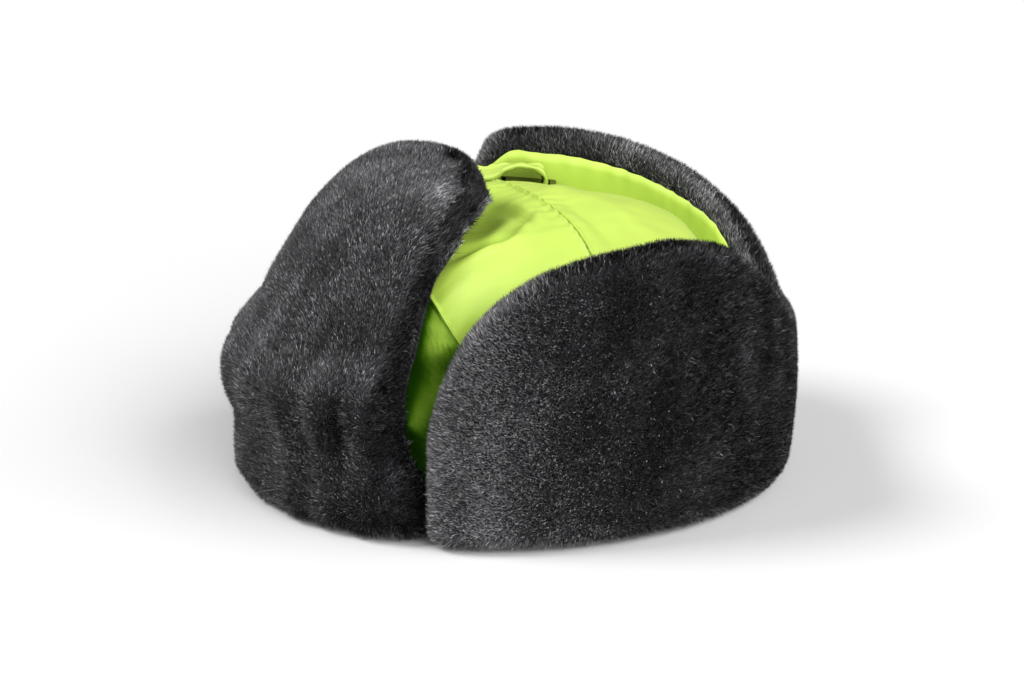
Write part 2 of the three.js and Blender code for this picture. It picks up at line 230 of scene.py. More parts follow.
# Folds of the ear and nape fur: the angle and the distance below the top edge where each runs
# through its middle, how far it reaches along and across, its slope and its depth
EAR_FUR_FOLDS = table(
    "angle below reach_along reach_across slope depth",
    (43, 13, 26, 3.5, 0.5, 2.6),
    (2, 62, 30, 9, 0.2, 1.6),
    (30, 52, 26, 8, -0.4, 1.4),
    (112, 22, 30, 5, 0.3, 1.8),
    (150, 48, 34, 8, -0.2, 1.8),
    (183, 55, 26, 8, 0.4, 1.6),
)

# Upright folds of the front fur: the angle and height of the middle, the reach either way, the
# slope and the depth, which is a ridge where it is negative
FRONT_FUR_FOLDS = table(
    "angle height reach_along reach_across slope depth",
    (-75, 42, 40, 3.5, 0.05, -2.6),
    (-67.5, 50, 46, 4, 0, 2.6),
    (-60, 42, 40, 3.5, -0.05, -2.6),
    (-54, 55, 46, 3.5, 0, 2.4),
    (-49, 40, 34, 3.5, 0.05, -2.4),
    (-43.5, 60, 50, 4, 0.05, 2.6),
    (-38, 45, 44, 3.5, 0.1, -2.8),
    (-83, 55, 40, 4, 0, 2),
    (-91, 45, 40, 4, 0, -2),
    (-104, 60, 44, 5, 0, 2.4),
    (-113, 50, 40, 4, 0.05, -2),
    (-122, 50, 40, 5, 0.1, 2.2),
    (-134, 48, 40, 4, -0.1, -2),
)

# How far the fur is combed sideways, towards growing angles, beside its way up to the top edge
EAR_NAP = table(
    "angle sideways",
    (-25, -0.55),
    (5, -0.4),
    (30, -0.1),
    (55, 0.3),
    (90, 0),
    (130, -0.5),
    (165, 0.2),
    (205, 1.2),
)
FRONT_NAP = table(
    "angle sideways",
    (-150, -1),
    (-90, 0),
    (-30, 1),
)

# How much a hair's tone varies by itself, from patch to patch and from clump to clump
HAIR_TONE, PATCH_TONE, CLUMP_TONE = 0.3, 0.1, 0.08

# How a hair stands: its shares of the surface's normal and of the comb's way, and how far it
# strays by itself and with its clump
UPRIGHT, COMBED, STRAY, CLUMP_STRAY = 0.7, 0.62, 0.24, 0.16

# Painted shade: how much darker the hairs are painted where a flap's edge rolls away; on the front flap
# they are painted lighter there, which is painted light
EAR_ROLL_PAINTED_SHADE, FRONT_ROLL_PAINTED_LIGHT = 0.3, -0.55

# How far the fur's surface may turn from the way out and still have hairs, as the cosine, and
# how far down from its top edge the ear flap has them all the same
EAR_ROLL, FRONT_ROLL = -0.2, -0.25
INNER_FUR = 14 * MM
UNDERSIDE = -0.95

# Painted shade on the cloth in tight corners: how open a place is, 0 to 1, and the darker, greener tint
# painted there
PAINTED_CORNER_SHADE = (
    (0.35, (0.015, 0.05, 0.01, 1)),
    (0.59, (0.08, 0.17, 0.035, 1)),
    (0.71, (0.42, 0.58, 0.25, 1)),
    (0.87, (1, 1, 1, 1)),
)
CORNER_REACH = 35 * MM

# The cloth's threads are drawn this wide. The real ones are 0.25 mm, too fine to show
THREAD_PITCH = 0.8 * MM

# From one pucker of a sewn edge to the next. Finer ones at half of that lie on top
PUCKER_PITCH = 9 * MM

# The reach over which a padded piece gets soft, in from its seams
SOFT_FROM_SEAM = 8 * MM

# Where a strap's seams run, in from its edges, and how far from its ends the stitches stop
STRAP_SEAM = 3.1 * MM
UNSTITCHED_ENDS = 3


def millimetres(name, description, default):
    """A length of this size in millimetres, kept in metres."""
    return FloatProperty(name=name, description=description, default=default * MM, unit="LENGTH")


def share(name, description, default):
    """A plain number."""
    return FloatProperty(name=name, description=description, default=default)


def colour(name, description, default):
    """A colour as an sRGB hex value."""
    return StringProperty(name=name, description=description, default=default)


class HatSizes(bpy.types.PropertyGroup):
    """The hat's own sizes, as its solids have them."""

    head_half_width: millimetres("Head half width", "Half the width of the hollow", 86)
    head_half_length: millimetres("Head half length", "Half the length of the hollow", 101)
    crown_height: millimetres("Crown height", "From the rim to the top", 126)
    crown_wall: millimetres("Crown wall", "Thickness of the padded wall", 5)
    crown_boxiness: share("Crown boxiness", "2 is an ellipse in profile", 3.7)
    forehead_boxiness: share("Forehead boxiness", "The same over the forehead", 2.9)
    seam_behind: millimetres("Cross seam behind", "How far it is behind the middle", 16)
    seam_left: share("Cross seam left", "The angle of its left end", 18)
    seam_right: share("Cross seam right", "The angle of its right end", 181)
    cloth_thickness: millimetres("Cloth thickness", "Of a flap's facing", 1.5)
    cloth_gap: millimetres("Cloth gap", "Between facing and fur", 0.4)
    flap_front: share("Flap front", "The angle where the ear flap starts", -25.3)
    flap_right: share("Flap right", "The angle where it ends", 205.3)
    flap_stand_off: millimetres("Flap stand-off", "From the crown to the facing", 1)
    flap_lean: share("Flap lean", "How far the flap leans out as it rises", 0.035)
    ear_fur: millimetres("Ear fur", "Thickness of the fur at the ears", 16)
    nape_fur: millimetres("Nape fur", "Thickness of the fur at the nape", 19)
    flap_bulge: millimetres("Flap bulge", "Extra fullness at half height", 2.5)
    flap_round: millimetres("Flap rounding", "Radius of the fur's edges", 9)
    foot_round: millimetres("Foot rounding", "Radius of the fur's foot", 10)
    end_roll: millimetres("End roll", "How far the fur rolls round the ends", 11)
    corner_rise: millimetres("Corner rise", "How far the lower corners lift", 5)
    corner_reach: millimetres("Corner reach", "How far along that takes place", 14)
    front_top_gap: millimetres("Front flap gap", "From its top edge to the middle", 9.5)
    front_foot: millimetres("Front flap foot", "How high its foot is", 2)
    front_stand_off: millimetres("Front stand-off", "From the crown to the facing", 1.2)
    front_roll: millimetres("Front roll", "How far its fur rolls round", 11)
    front_round: millimetres("Front rounding", "Radius of its fur's edges", 17)
    facing_foot: millimetres("Facing foot", "How high the facing starts", 1.5)
    strap_width: millimetres("Strap width", "Width of the chin strap", 18)
    strap_thickness: millimetres("Strap thickness", "Of the chin strap", 1.6)
    buckle_angle: share("Buckle angle", "Where the buckle lies", 167)
    gutter_half_width: millimetres("Gutter half width", "To the buckle's middle", 83.4)
    gutter_half_length: millimetres("Gutter half length", "The same, fore and aft", 98.2)
    stitch_pitch: millimetres("Stitch pitch", "From one stitch to the next", 3)
    thread_width: millimetres("Thread width", "Of the sewing thread", 0.45)
    buckle_bevel: millimetres("Buckle bevel", "Rounding of its moulded edges", 0.5)


class FurSizes(bpy.types.PropertyGroup):
    """The pile: how long and dense it is and how it lies."""

    pile_depth: millimetres("Pile depth", "From the backing to the fur's outline", 2.6)
    hair_length: millimetres("Hair length", "Of one hair", 4.5)
    hair_width: millimetres("Hair width", "Of one hair at its widest", 0.138)
    ear_hairs: IntProperty(name="Ear hairs", description="Hairs on the ear and nape flap", default=500000)
    front_hairs: IntProperty(name="Front hairs", description="Hairs on the front flap", default=290000)
    # The one fur's tone with painted light and shade in it: the ear and nape flap's hairs are painted
    # lighter and the front flap's darker, standing in for how the lights fall on each
    ear_tone_with_painted_light: share("Ear tone", "How light the ear flap's hairs are, 0 to 1", 0.6)
    front_tone_with_painted_shade: share("Front tone", "The same for the front flap", 0.24)
    clump: millimetres("Clump", "Width of a clump of hairs", 4)
    seed: IntProperty(name="Seed", description="Where the random draws start", default=11)


class Finish(bpy.types.PropertyGroup):
    """The colours."""

    cloth: colour("Cloth", "Yellow-green polyester", "CBE85E")
    strap: colour("Strap", "The same cloth, folded and sewn", "CEEA66")
    thread: colour("Thread", "Sewing thread", "D2F06C")
    fur_dark: colour("Fur dark", "The darkest hairs", "2C2C2E")
    fur_middle: colour("Fur middle", "Most hairs", "717073")
    fur_light: colour("Fur light", "The lightest hairs", "E4E2E5")
    backing: colour("Backing", "The ground that the hairs stand in", "2C2C2F")
    plastic: colour("Plastic", "Black buckle plastic", "0B0B0C")
    floor: colour("Floor", "Studio paper", "F0F0F0")


class StageSizes(bpy.types.PropertyGroup):
    """The camera and the studio."""

    azimuth: share("Azimuth", "0 looks at the front, 90 at the wearer's left side", 80)
    elevation: share("Elevation", "Above the horizon", 18.5)
    distance: millimetres("Distance", "From the camera to the aim", 1500)
    aim_height: millimetres("Aim height", "Of the point in the picture's middle", 60)
    lens_pixels: share("Lens", "Focal length in pixels of a 1024 pixel picture", 3300)
    floor_width: millimetres("Floor width", "Of the studio paper", 9000)
    key_light: share("Key light", "Strength of the main light, from the front", 1.78)
    back_light: share("Back light", "Strength of the light from behind", 1.2)
    fill_light: share("Fill light", "Strength of the light on the left side", 2.25)
    sky: share("Sky", "Strength of the even light from all sides", 0.15)


# Numbers and tables

def along(rows, key, value, at):
    """A smooth curve through a table's rows that doesn't swing past them."""
    keys, values = rows[key], rows[value]
    width = np.diff(keys)
    slope = np.diff(values) / width
    product = slope[:-1] * slope[1:]
    total = np.where(product > 0, slope[:-1] + slope[1:], 1)
    tangent = np.concatenate([slope[:1], np.where(product > 0, 2 * product / total, 0), slope[-1:]])
    at = np.clip(at, keys[0], keys[-1])
    i = np.clip(np.searchsorted(keys, at) - 1, 0, len(width) - 1)
    s = (at - keys[i]) / width[i]
    rise = values[i + 1] - values[i]
    start = (1 - s) * (tangent[i] * width[i] - rise)
    end = s * (rise - tangent[i + 1] * width[i])
    return values[i] + rise * s + s * (1 - s) * (start + end)


def mix(low, high, part):
    return low + (high - low) * part


def bell(distance, width):
    """1 at no distance, and a smooth bump of this width either way."""
    return np.exp(-(distance / width) ** 2)


def decay(distance, reach):
    """1 at no distance, and dying away over this reach."""
    return np.exp(-distance / reach)


def unit(vectors):
    length = np.linalg.norm(vectors, axis=-1, keepdims=True)
    return vectors / np.maximum(length, 1e-12)


def stacked(x, y, z):
    return np.stack(np.broadcast_arrays(x, y, z), axis=-1).astype(float)


def ripple(points, wavelength, seed, waves=18):
    """Smooth noise, about -1 to 1, of one wavelength: plane waves in random directions."""
    draw = np.random.default_rng(seed)
    points = np.asarray(points, float)
    total = np.zeros(points.shape[:-1])
    for _ in range(waves):
        way = unit(draw.normal(size=points.shape[-1]))
        speed = 2 * math.pi / (wavelength * draw.uniform(0.7, 1.5))
        total += np.sin(points @ way * speed + draw.uniform(0, 2 * math.pi))
    return total * math.sqrt(2 / waves) / 1.5


def path_length(points):
    """The distance along a row of points, in the second last axis."""
    step = np.linalg.norm(np.diff(points, axis=-2), axis=-1)
    start = np.zeros(step.shape[:-1] + (1,))
    return np.concatenate([start, np.cumsum(step, axis=-1)], axis=-1)


def spaced(values, length, parts):
    """Values read at even parts of a path's length."""
    at = parts * length[-1]
    return np.stack([np.interp(at, length, column) for column in values.T], axis=-1)


def edge_steps(count, tight):
    """Steps from 0 to 1 that are closer at both ends; tight is 0 for even ones."""
    x = np.linspace(0, 1, count + 1)
    return x - tight * np.sin(2 * math.pi * x) / (2 * math.pi)


def sampled(grid, rows, columns):
    """A grid of numbers read smoothly at fractional rows and columns."""
    for at in (rows, columns):
        last = grid.shape[0] - 1
        i = np.clip(np.floor(at).astype(int), 0, last - 1)
        t = (at - i)[:, None]
        before, here = grid[np.maximum(i - 1, 0)], grid[i]
        after, beyond = grid[i + 1], grid[np.minimum(i + 2, last)]
        bend = 2 * before - 5 * here + 4 * after - beyond
        cubic = 3 * here - before - 3 * after + beyond
        grid = (here + 0.5 * t * (after - before + t * (bend + t * cubic))).T
    return grid


# The hat's surfaces, as its solids have them

def round_edge(distance, radius, least):
    """A round edge: the share of its thickness at a distance in from the edge."""
    s = np.clip(1 - distance / radius, 0, 1)
    return np.maximum(least, np.sqrt(1 - s * s))


def boxiness(s, angle):
    forward = np.clip(-np.sin(np.radians(angle)), 0, 1)
    return mix(s.crown_boxiness, s.forehead_boxiness, forward ** 2)


def bumps(rows, sharpness, x, y):
    """The height of a table's soft bumps, added up, at places in plan."""
    height = 0
    for cx, cy, reach_along, reach_across, turn, high in zip(*rows.values()):
        c, s = math.cos(math.radians(turn)), math.sin(math.radians(turn))
        lengthways = ((x / MM - cx) * c + (y / MM - cy) * s) / reach_along
        across = ((y / MM - cy) * c - (x / MM - cx) * s) / reach_across
        height = height + high * MM * np.exp(-sharpness * (lengthways ** 2 + across ** 2))
    return height


def fold_depth(rows, lengthways, across):
    """The depth of a table's folds, added up. lengthways and across give, for a row of the
    table, how far each point is from the fold's middle along it and across it."""
    depth = 0
    for i in range(len(rows["depth"])):
        row = {key: column[i] for key, column in rows.items()}
        run = lengthways(row)
        off = across(row) - row["slope"] * run
        near = bell(run, row["reach_along"] * MM) * bell(off, row["reach_across"] * MM)
        depth = depth + row["depth"] * MM * near
    return depth


def crown_frame(s, angle, reach, rise, dented):
    """Points of the crown's outer face and the way out at each."""
    n = boxiness(s, angle)
    a = s.head_half_width + s.crown_wall
    b = s.head_half_length + s.crown_wall
    cos, sin = np.cos(np.radians(angle)), np.sin(np.radians(angle))
    side = reach ** (n - 1)
    normal = unit(stacked(side * cos / a, side * sin / b, rise ** (n - 1) / s.crown_height))
    point = stacked(a * reach * cos, b * reach * sin, s.crown_height * rise)
    if dented:
        sunk = bumps(CROWN_DENTS, 2, point[..., 0], point[..., 1]) * normal[..., 2]
        point = point - normal * sunk[..., None]
    return point, normal


def crown_at_plan(s, plan):
    """The same from a place in plan, as shares of the rim's half width and length."""
    angle = np.degrees(np.arctan2(plan[..., 1], plan[..., 0]))
    reach = np.minimum(np.hypot(plan[..., 0], plan[..., 1]), 1)
    n = boxiness(s, angle)
    return crown_frame(s, angle, reach, (1 - reach ** n) ** (1 / n), True)


def crown_at_place(s, angle, place, dented):
    """The same from an angle and a place on the profile: 0 is the rim and 1 the top."""
    n = boxiness(s, angle)
    turn = place * math.pi / 2
    reach = np.maximum(np.cos(turn), 0) ** (2 / n)
    return crown_frame(s, angle, reach, np.sin(turn) ** (2 / n), dented)


def place_at_height(s, angle, height):
    part = np.clip(height / s.crown_height, 0, 1)
    return np.arcsin(part ** (boxiness(s, angle) / 2)) / (math.pi / 2)


def band_height(angle):
    from_front = np.abs((angle + 630) % 360 - 180)
    return MM * along(BAND_SEAM, "from_front", "height", from_front)


def flap_point(s, angle, height, out):
    """A point of the ear and nape flap, out from where its fur starts."""
    start = s.crown_wall + s.flap_stand_off + s.cloth_thickness + s.cloth_gap + s.flap_lean * height
    x = (s.head_half_width + start + out) * np.cos(np.radians(angle))
    y = (s.head_half_length + start + out) * np.sin(np.radians(angle))
    return stacked(x, y, height)


def flap_top(angle):
    return MM * along(FLAP_TOP, "angle", "height", angle)


def ear_fur_surface(s, u, v, outside):
    """The ear and nape fur's outline, u round the head and v upwards."""
    eased = 0.5 - 0.5 * np.cos(math.pi * u)
    angle = mix(s.flap_front, s.flap_right, mix(u, eased, 0.35))
    to_end = np.radians(np.minimum(angle - s.flap_front, s.flap_right - angle)) * s.head_half_length
    foot = s.corner_rise * (1 - round_edge(to_end, s.corner_reach, 0))
    top = flap_top(angle)
    height = mix(foot, top, 0.5 - 0.5 * np.cos(math.pi * v))
    back = np.clip(np.sin(np.radians(angle)), 0, 1)
    half = mix(s.ear_fur, s.nape_fur, back ** 2) / 2
    edge = round_edge(np.minimum(top - height, to_end), s.flap_round, 0.2)
    bottom = round_edge(height - foot, s.foot_round, 0.35)
    bulge = s.flap_bulge * np.sin(math.pi * height / top) * edge
    out = half + half * edge * bottom + bulge if outside else half - half * edge
    return flap_point(s, angle, height, out)


def front_flap_place(s, across, up, inset):
    """A place on the front flap: its angle, its left edge's angle and its place on the crown."""
    edge = along(FRONT_FLAP, "share", "edge", up) - math.degrees(inset / s.head_half_width)
    angle = mix(-180 - edge, edge, across)
    top_reach = (s.front_top_gap + inset) / (s.head_half_length + s.crown_wall)
    reach = top_reach / -np.sin(np.radians(angle))
    top_place = np.arccos(reach ** (boxiness(s, angle) / 2)) / (math.pi / 2)
    return angle, edge, up * top_place


def front_fur_surface(s, u, v, outside):
    """The front fur's outline, u from its right edge to its left and v upwards."""
    up = mix(v, 0.5 - 0.5 * np.cos(math.pi * v), 0.5)
    across = 0.5 - 0.5 * np.cos(math.pi * u)
    angle, edge, place = front_flap_place(s, across, up, 0)
    base, normal = crown_at_place(s, angle, place, False)
    turn = np.radians(np.minimum(angle + 180 + edge, edge - angle))
    to_side = turn * np.hypot(base[..., 0], base[..., 1])
    to_top = -s.front_top_gap - base[..., 1]
    edges = round_edge(np.minimum(to_side, to_top), s.front_round, 0.15)
    foot = round_edge(base[..., 2], s.foot_round, 0.65)
    thickness = MM * along(FRONT_FLAP, "share", "thickness", up) * edges * foot
    stand = s.front_stand_off + s.cloth_thickness + s.cloth_gap
    point = base + normal * (stand + thickness * outside)[..., None]
    point[..., 2] = np.maximum(point[..., 2], s.front_foot)
    return point


# Meshes

def new_object(name, mesh):
    thing = bpy.data.objects.new(name, mesh)
    bpy.context.scene.collection.objects.link(thing)
    return thing


def quads(rows, columns, start=0, flip=False):
    """The faces of a grid of points that are stored row by row."""
    i, j = np.meshgrid(np.arange(rows - 1), np.arange(columns - 1), indexing="ij")
    a = (start + i * columns + j).ravel()
    corners = [a, a + 1, a + columns + 1, a + columns]
    return np.stack(corners[::-1] if flip else corners, axis=-1)


def shell_faces(rows, columns, ring=False):
    """The faces of a closed piece: an outer grid, an inner one and the edges between them."""
    far = rows * columns
    parts = [quads(rows, columns, 0, True), quads(rows, columns, far)]
    grid = np.arange(far).reshape(rows, columns)
    edges = [grid[:, 0], grid[:, -1][::-1]]
    if not ring:
        edges += [grid[0][::-1], grid[-1]]
    for edge in edges:
        a, b = edge[:-1], edge[1:]
        parts.append(np.stack([a, b, b + far, a + far], axis=-1))
    return np.concatenate(parts)


def mesh_of(name, points, faces, uv=None, weld=1e-6):
    """A smooth mesh of these points, with one UV map in metres for each point."""
    mesh = bpy.data.meshes.new(name)
    mesh.from_pydata(points.reshape(-1, 3) + HEAD_CENTRE, [], faces.tolist())
    if uv is not None:
        loops = np.empty(len(mesh.loops), np.int32)
        mesh.loops.foreach_get("vertex_index", loops)
        layer = mesh.uv_layers.new(name="weave")
        layer.data.foreach_set("uv", uv.reshape(-1, 2)[loops].astype(np.float32).ravel())
    made = bmesh.new()
    made.from_mesh(mesh)
    bmesh.ops.remove_doubles(made, verts=made.verts, dist=weld)
    bmesh.ops.dissolve_degenerate(made, edges=made.edges, dist=weld)
    bmesh.ops.recalc_face_normals(made, faces=made.faces)
    made.to_mesh(mesh)
    made.free()
    mesh.shade_smooth()
    return mesh


def walled(name, outer, inner, uv, ring=False, weld=1e-6):
    """A closed piece between two grids of points, as an object."""
    faces = shell_faces(*outer.shape[:2], ring)
    return new_object(name, mesh_of(name, np.stack([outer, inner]), faces, np.stack([uv, uv]), weld))


def mesh_values(mesh, kind):
    """A vector for each point of a mesh: its place, co, or its normal."""
    flat = np.empty(len(mesh.vertices) * 3, np.float32)
    mesh.vertices.foreach_get(kind, flat)
    return flat.reshape(-1, 3).astype(float)


def simulated(points, faces, sewn, growth, pressure, cap):
    """The same points once Blender's Cloth has filled the piece like a pad. The sewn points
    stay, the cloth is cut larger by the growth, and no point moves more than the cap."""
    scene = bpy.context.scene
    mesh = bpy.data.meshes.new("pad")
    mesh.from_pydata(points.reshape(-1, 3), [], [tuple(face) for face in faces])
    pad = new_object("pad", mesh)
    pins = pad.vertex_groups.new(name="sewn")
    pins.add(np.flatnonzero(sewn.ravel()).tolist(), 1.0, "REPLACE")
    cloth = pad.modifiers.new("Cloth", "CLOTH")
    cloth.settings.vertex_group_mass = pins.name
    cloth.settings.quality = 6
    cloth.settings.shrink_min = -growth
    cloth.settings.use_pressure = True
    cloth.settings.uniform_pressure_force = pressure
    cloth.settings.effector_weights.gravity = 0
    cloth.collision_settings.use_collision = False
    for step in range(CLOTH_STEPS):
        scene.frame_set(step + 1)
    filled = pad.evaluated_get(bpy.context.evaluated_depsgraph_get())
    moved = mesh_values(filled.data, "co").reshape(points.shape) - points
    scene.frame_set(1)
    bpy.data.objects.remove(pad)
    bpy.data.meshes.remove(mesh)
    length = np.linalg.norm(moved, axis=-1, keepdims=True)
    return points + moved * (cap * np.tanh(length / cap) / np.maximum(length, 1e-9))


# Materials

def linear(hex_colour):
    """An sRGB hex colour as linear red, green, blue and alpha."""
    parts = [int(hex_colour[i:i + 2], 16) / 255 for i in (0, 2, 4)]
    return [p / 12.92 if p <= 0.04045 else ((p + 0.055) / 1.055) ** 2.4 for p in parts] + [1]


def node(material, kind, inputs=None, **settings):
    """Adds a node with its settings, and its inputs as values or as links from other nodes."""
    made = material.node_tree.nodes.new(kind)
    for key, value in settings.items():
        setattr(made, key, value)
    for key, value in (inputs or {}).items():
        if isinstance(value, bpy.types.NodeSocket):
            material.node_tree.links.new(value, made.inputs[key])
        else:
            made.inputs[key].default_value = value
    return made


def new_material(name):
    """An empty node material."""
    material = bpy.data.materials.new(name)
    material.use_nodes = True
    material.node_tree.nodes.clear()
    return material


def with_shader(material, inputs):
    """The material with its Principled shader, which has these inputs."""
    shader = node(material, "ShaderNodeBsdfPrincipled", inputs)
    node(material, "ShaderNodeOutputMaterial", {"Surface": shader.outputs["BSDF"]})
    return material


def noise(material, scale, detail=2.0):
    """Soft noise through the piece, about 0 to 1."""
    place = node(material, "ShaderNodeTexCoord").outputs["Object"]
    inputs = {"Vector": place, "Scale": scale, "Detail": detail}
    return node(material, "ShaderNodeTexNoise", inputs).outputs["Fac"]


def bumped(material, height, strength, distance):
    """The normals that a relief gives."""
    inputs = {"Height": height, "Strength": strength, "Distance": distance}
    return node(material, "ShaderNodeBump", inputs).outputs["Normal"]


def arithmetic(material, operation, *values):
    """The result of a sum, product or curve of these numbers."""
    return node(material, "ShaderNodeMath", dict(enumerate(values)), operation=operation).outputs[0]


def multiplied(material, first, second, amount):
    """A colour multiplied by another, by this amount."""
    made = node(material, "ShaderNodeMix", {6: first, 7: second}, data_type="RGBA", blend_type="MULTIPLY")
    made.inputs[0].default_value = amount
    return made.outputs[2]


def map_axes(material, uv_map):
    """The two axes of a piece's map."""
    mapped = node(material, "ShaderNodeUVMap", uv_map=uv_map).outputs["UV"]
    apart = node(material, "ShaderNodeSeparateXYZ", {"Vector": mapped})
    return apart.outputs["X"], apart.outputs["Y"]


def ramp(material, factor, *stops):
    """A colour ramp through stops of a place and a linear colour."""
    made = node(material, "ShaderNodeValToRGB", {"Fac": factor})
    elements = made.color_ramp.elements
    while len(elements) < len(stops):
        elements.new(0.5)
    for element, (place, value) in zip(elements, stops):
        element.position = place
        element.color = value
    return made.outputs["Color"]


def shade(value, factor):
    return [channel * factor for channel in value[:3]] + [1]


def woven_polyester(name, base, corner_shade_share, gloss):
    """High-visibility polyester, plain woven and calendered: smooth, with a soft broad gloss and
    a thread relief that only shows close up. In tight corners it has painted shade, greener and
    darker, by this share, and its gloss is turned down there. The gloss is how strongly it shines."""
    material = new_material(name)
    waves = []
    for axis in map_axes(material, "weave"):
        turns = arithmetic(material, "MULTIPLY", axis, math.pi / THREAD_PITCH)
        waves.append(arithmetic(material, "SINE", turns))
    weave = arithmetic(material, "MULTIPLY", *waves)
    height = arithmetic(material, "MULTIPLY_ADD", weave, 0.03, noise(material, 90.0, 3.0))
    blotch = noise(material, 28.0)
    tint = ramp(material, blotch, (0.3, shade(base, 0.93)), (0.7, shade(base, 1.04)))
    # Painted shade: where ambient occlusion finds a place closed in, the colour is multiplied darker and
    # greener and the gloss turned down
    hidden = node(material, "ShaderNodeAmbientOcclusion", {"Distance": CORNER_REACH}, samples=8)
    painted_shade_tint = ramp(material, hidden.outputs["AO"], *PAINTED_CORNER_SHADE)
    shine = ramp(material, hidden.outputs["AO"], (0.6, (0, 0, 0, 1)), (0.88, (gloss, gloss, gloss, 1)))
    return with_shader(material, {
        "Base Color": multiplied(material, tint, painted_shade_tint, corner_shade_share),
        "Normal": bumped(material, height, 0.35, 0.5 * MM),
        "Specular IOR Level": shine,
        "Roughness": 0.55,
    })


def spun_thread(base):
    """Spun polyester sewing thread: matt, with a twist that catches the light in small steps."""
    material = new_material("Spun polyester thread")
    tint = ramp(material, noise(material, 1800.0), (0.35, shade(base, 0.75)), (0.65, base))
    return with_shader(material, {"Base Color": tint, "Roughness": 0.6})


def acrylic_pile(look):
    """Acrylic faux fur, brushed and sheared: each hair has its own tone, is darkest at its root
    and has a faint silky gloss. The map holds the tone and the place from root to tip."""
    material = new_material("Acrylic faux fur pile")
    light, upward = map_axes(material, "pile")
    tone = ramp(material, light, (0, linear(look.fur_dark)), (0.55, linear(look.fur_middle)),
                (1, linear(look.fur_light)))
    depth = ramp(material, upward, (0, (0.5, 0.5, 0.5, 1)), (0.6, (0.85, 0.85, 0.85, 1)),
                 (1, (1.25, 1.25, 1.25, 1)))
    return with_shader(material, {
        "Base Color": multiplied(material, tone, depth, 1),
        "Roughness": 0.5,
        "Specular IOR Level": 0.35,
    })


def fur_backing(look):
    """The knitted ground of the fur with its short underfur: matt and nearly black."""
    material = new_material("Knitted acrylic fur backing")
    tufts, base = noise(material, 1500.0), linear(look.backing)
    return with_shader(material, {
        "Base Color": ramp(material, tufts, (0.35, shade(base, 0.35)), (0.65, shade(base, 2))),
        "Normal": bumped(material, tufts, 1, MM),
        "Roughness": 0.9,
    })


def moulded_acetal(look):
    """Acetal, injection moulded in a polished tool: black, glossy and very slightly uneven."""
    material = new_material("Moulded black acetal")
    flow, base = noise(material, 350.0), linear(look.plastic)
    return with_shader(material, {
        "Base Color": ramp(material, flow, (0.3, shade(base, 0.8)), (0.7, shade(base, 1.3))),
        "Normal": bumped(material, flow, 0.15, 0.1 * MM),
        "Roughness": 0.18,
        "IOR": 1.48,
    })


def studio_paper(look):
    """Studio background paper: matt and even."""
    material = new_material("Studio paper")
    return with_shader(material, {"Base Color": linear(look.floor), "Roughness": 0.9})


# The crown

def seam_relief(distance, lengthways, seed, ridge, crest, valley):
    """How a sewn edge stands: a rounded roll beside the seam, drawn in at the stitches and
    puckered along its length."""
    broad = ripple(lengthways[..., None], PUCKER_PITCH, seed)
    fine = ripple(lengthways[..., None], PUCKER_PITCH / 2, seed + 1)
    welt = ridge * bell(distance - crest, 0.7 * MM)
    drawn_in = valley * bell(distance, 0.5 * MM)
    pucker = (0.5 * broad + 0.15 * fine) * MM * decay(distance, 7 * MM)
    off_seam = 1 - bell(distance, 0.9 * MM)
    return welt * (1 + 0.25 * fine) + pucker * off_seam - drawn_in


def panel_plan(s, start, end, us, vs):
    """Places in plan on a crown panel, and the length of each line from the cross seam to the
    band's seam. us runs along both seams and vs from the cross seam to the band's."""
    dense = np.linspace(0, 1, 301)
    angle = mix(start, end, dense)
    rim_place = place_at_height(s, angle, band_height(angle))
    reach = np.cos(rim_place * math.pi / 2) ** (2 / boxiness(s, angle))
    rim = np.stack([reach * np.cos(np.radians(angle)), reach * np.sin(np.radians(angle))], axis=-1)
    pole = np.array([0, s.seam_behind / (s.head_half_length + s.crown_wall)])
    leg = np.abs(2 * dense - 1)[:, None]
    seam = np.where(dense[:, None] < 0.5, mix(pole, rim[0], leg), mix(pole, rim[-1], leg))
    ends = []
    for line in (seam, rim):
        ends.append(spaced(line, path_length(crown_at_plan(s, line)[0]), us))
    lines = mix(ends[0][:, None], ends[1][:, None], np.linspace(0, 1, 101)[None, :, None])
    lengths = path_length(crown_at_plan(s, lines)[0])
    plan = np.stack([spaced(*each, vs) for each in zip(lines, lengths)])
    return plan, lengths[:, -1]


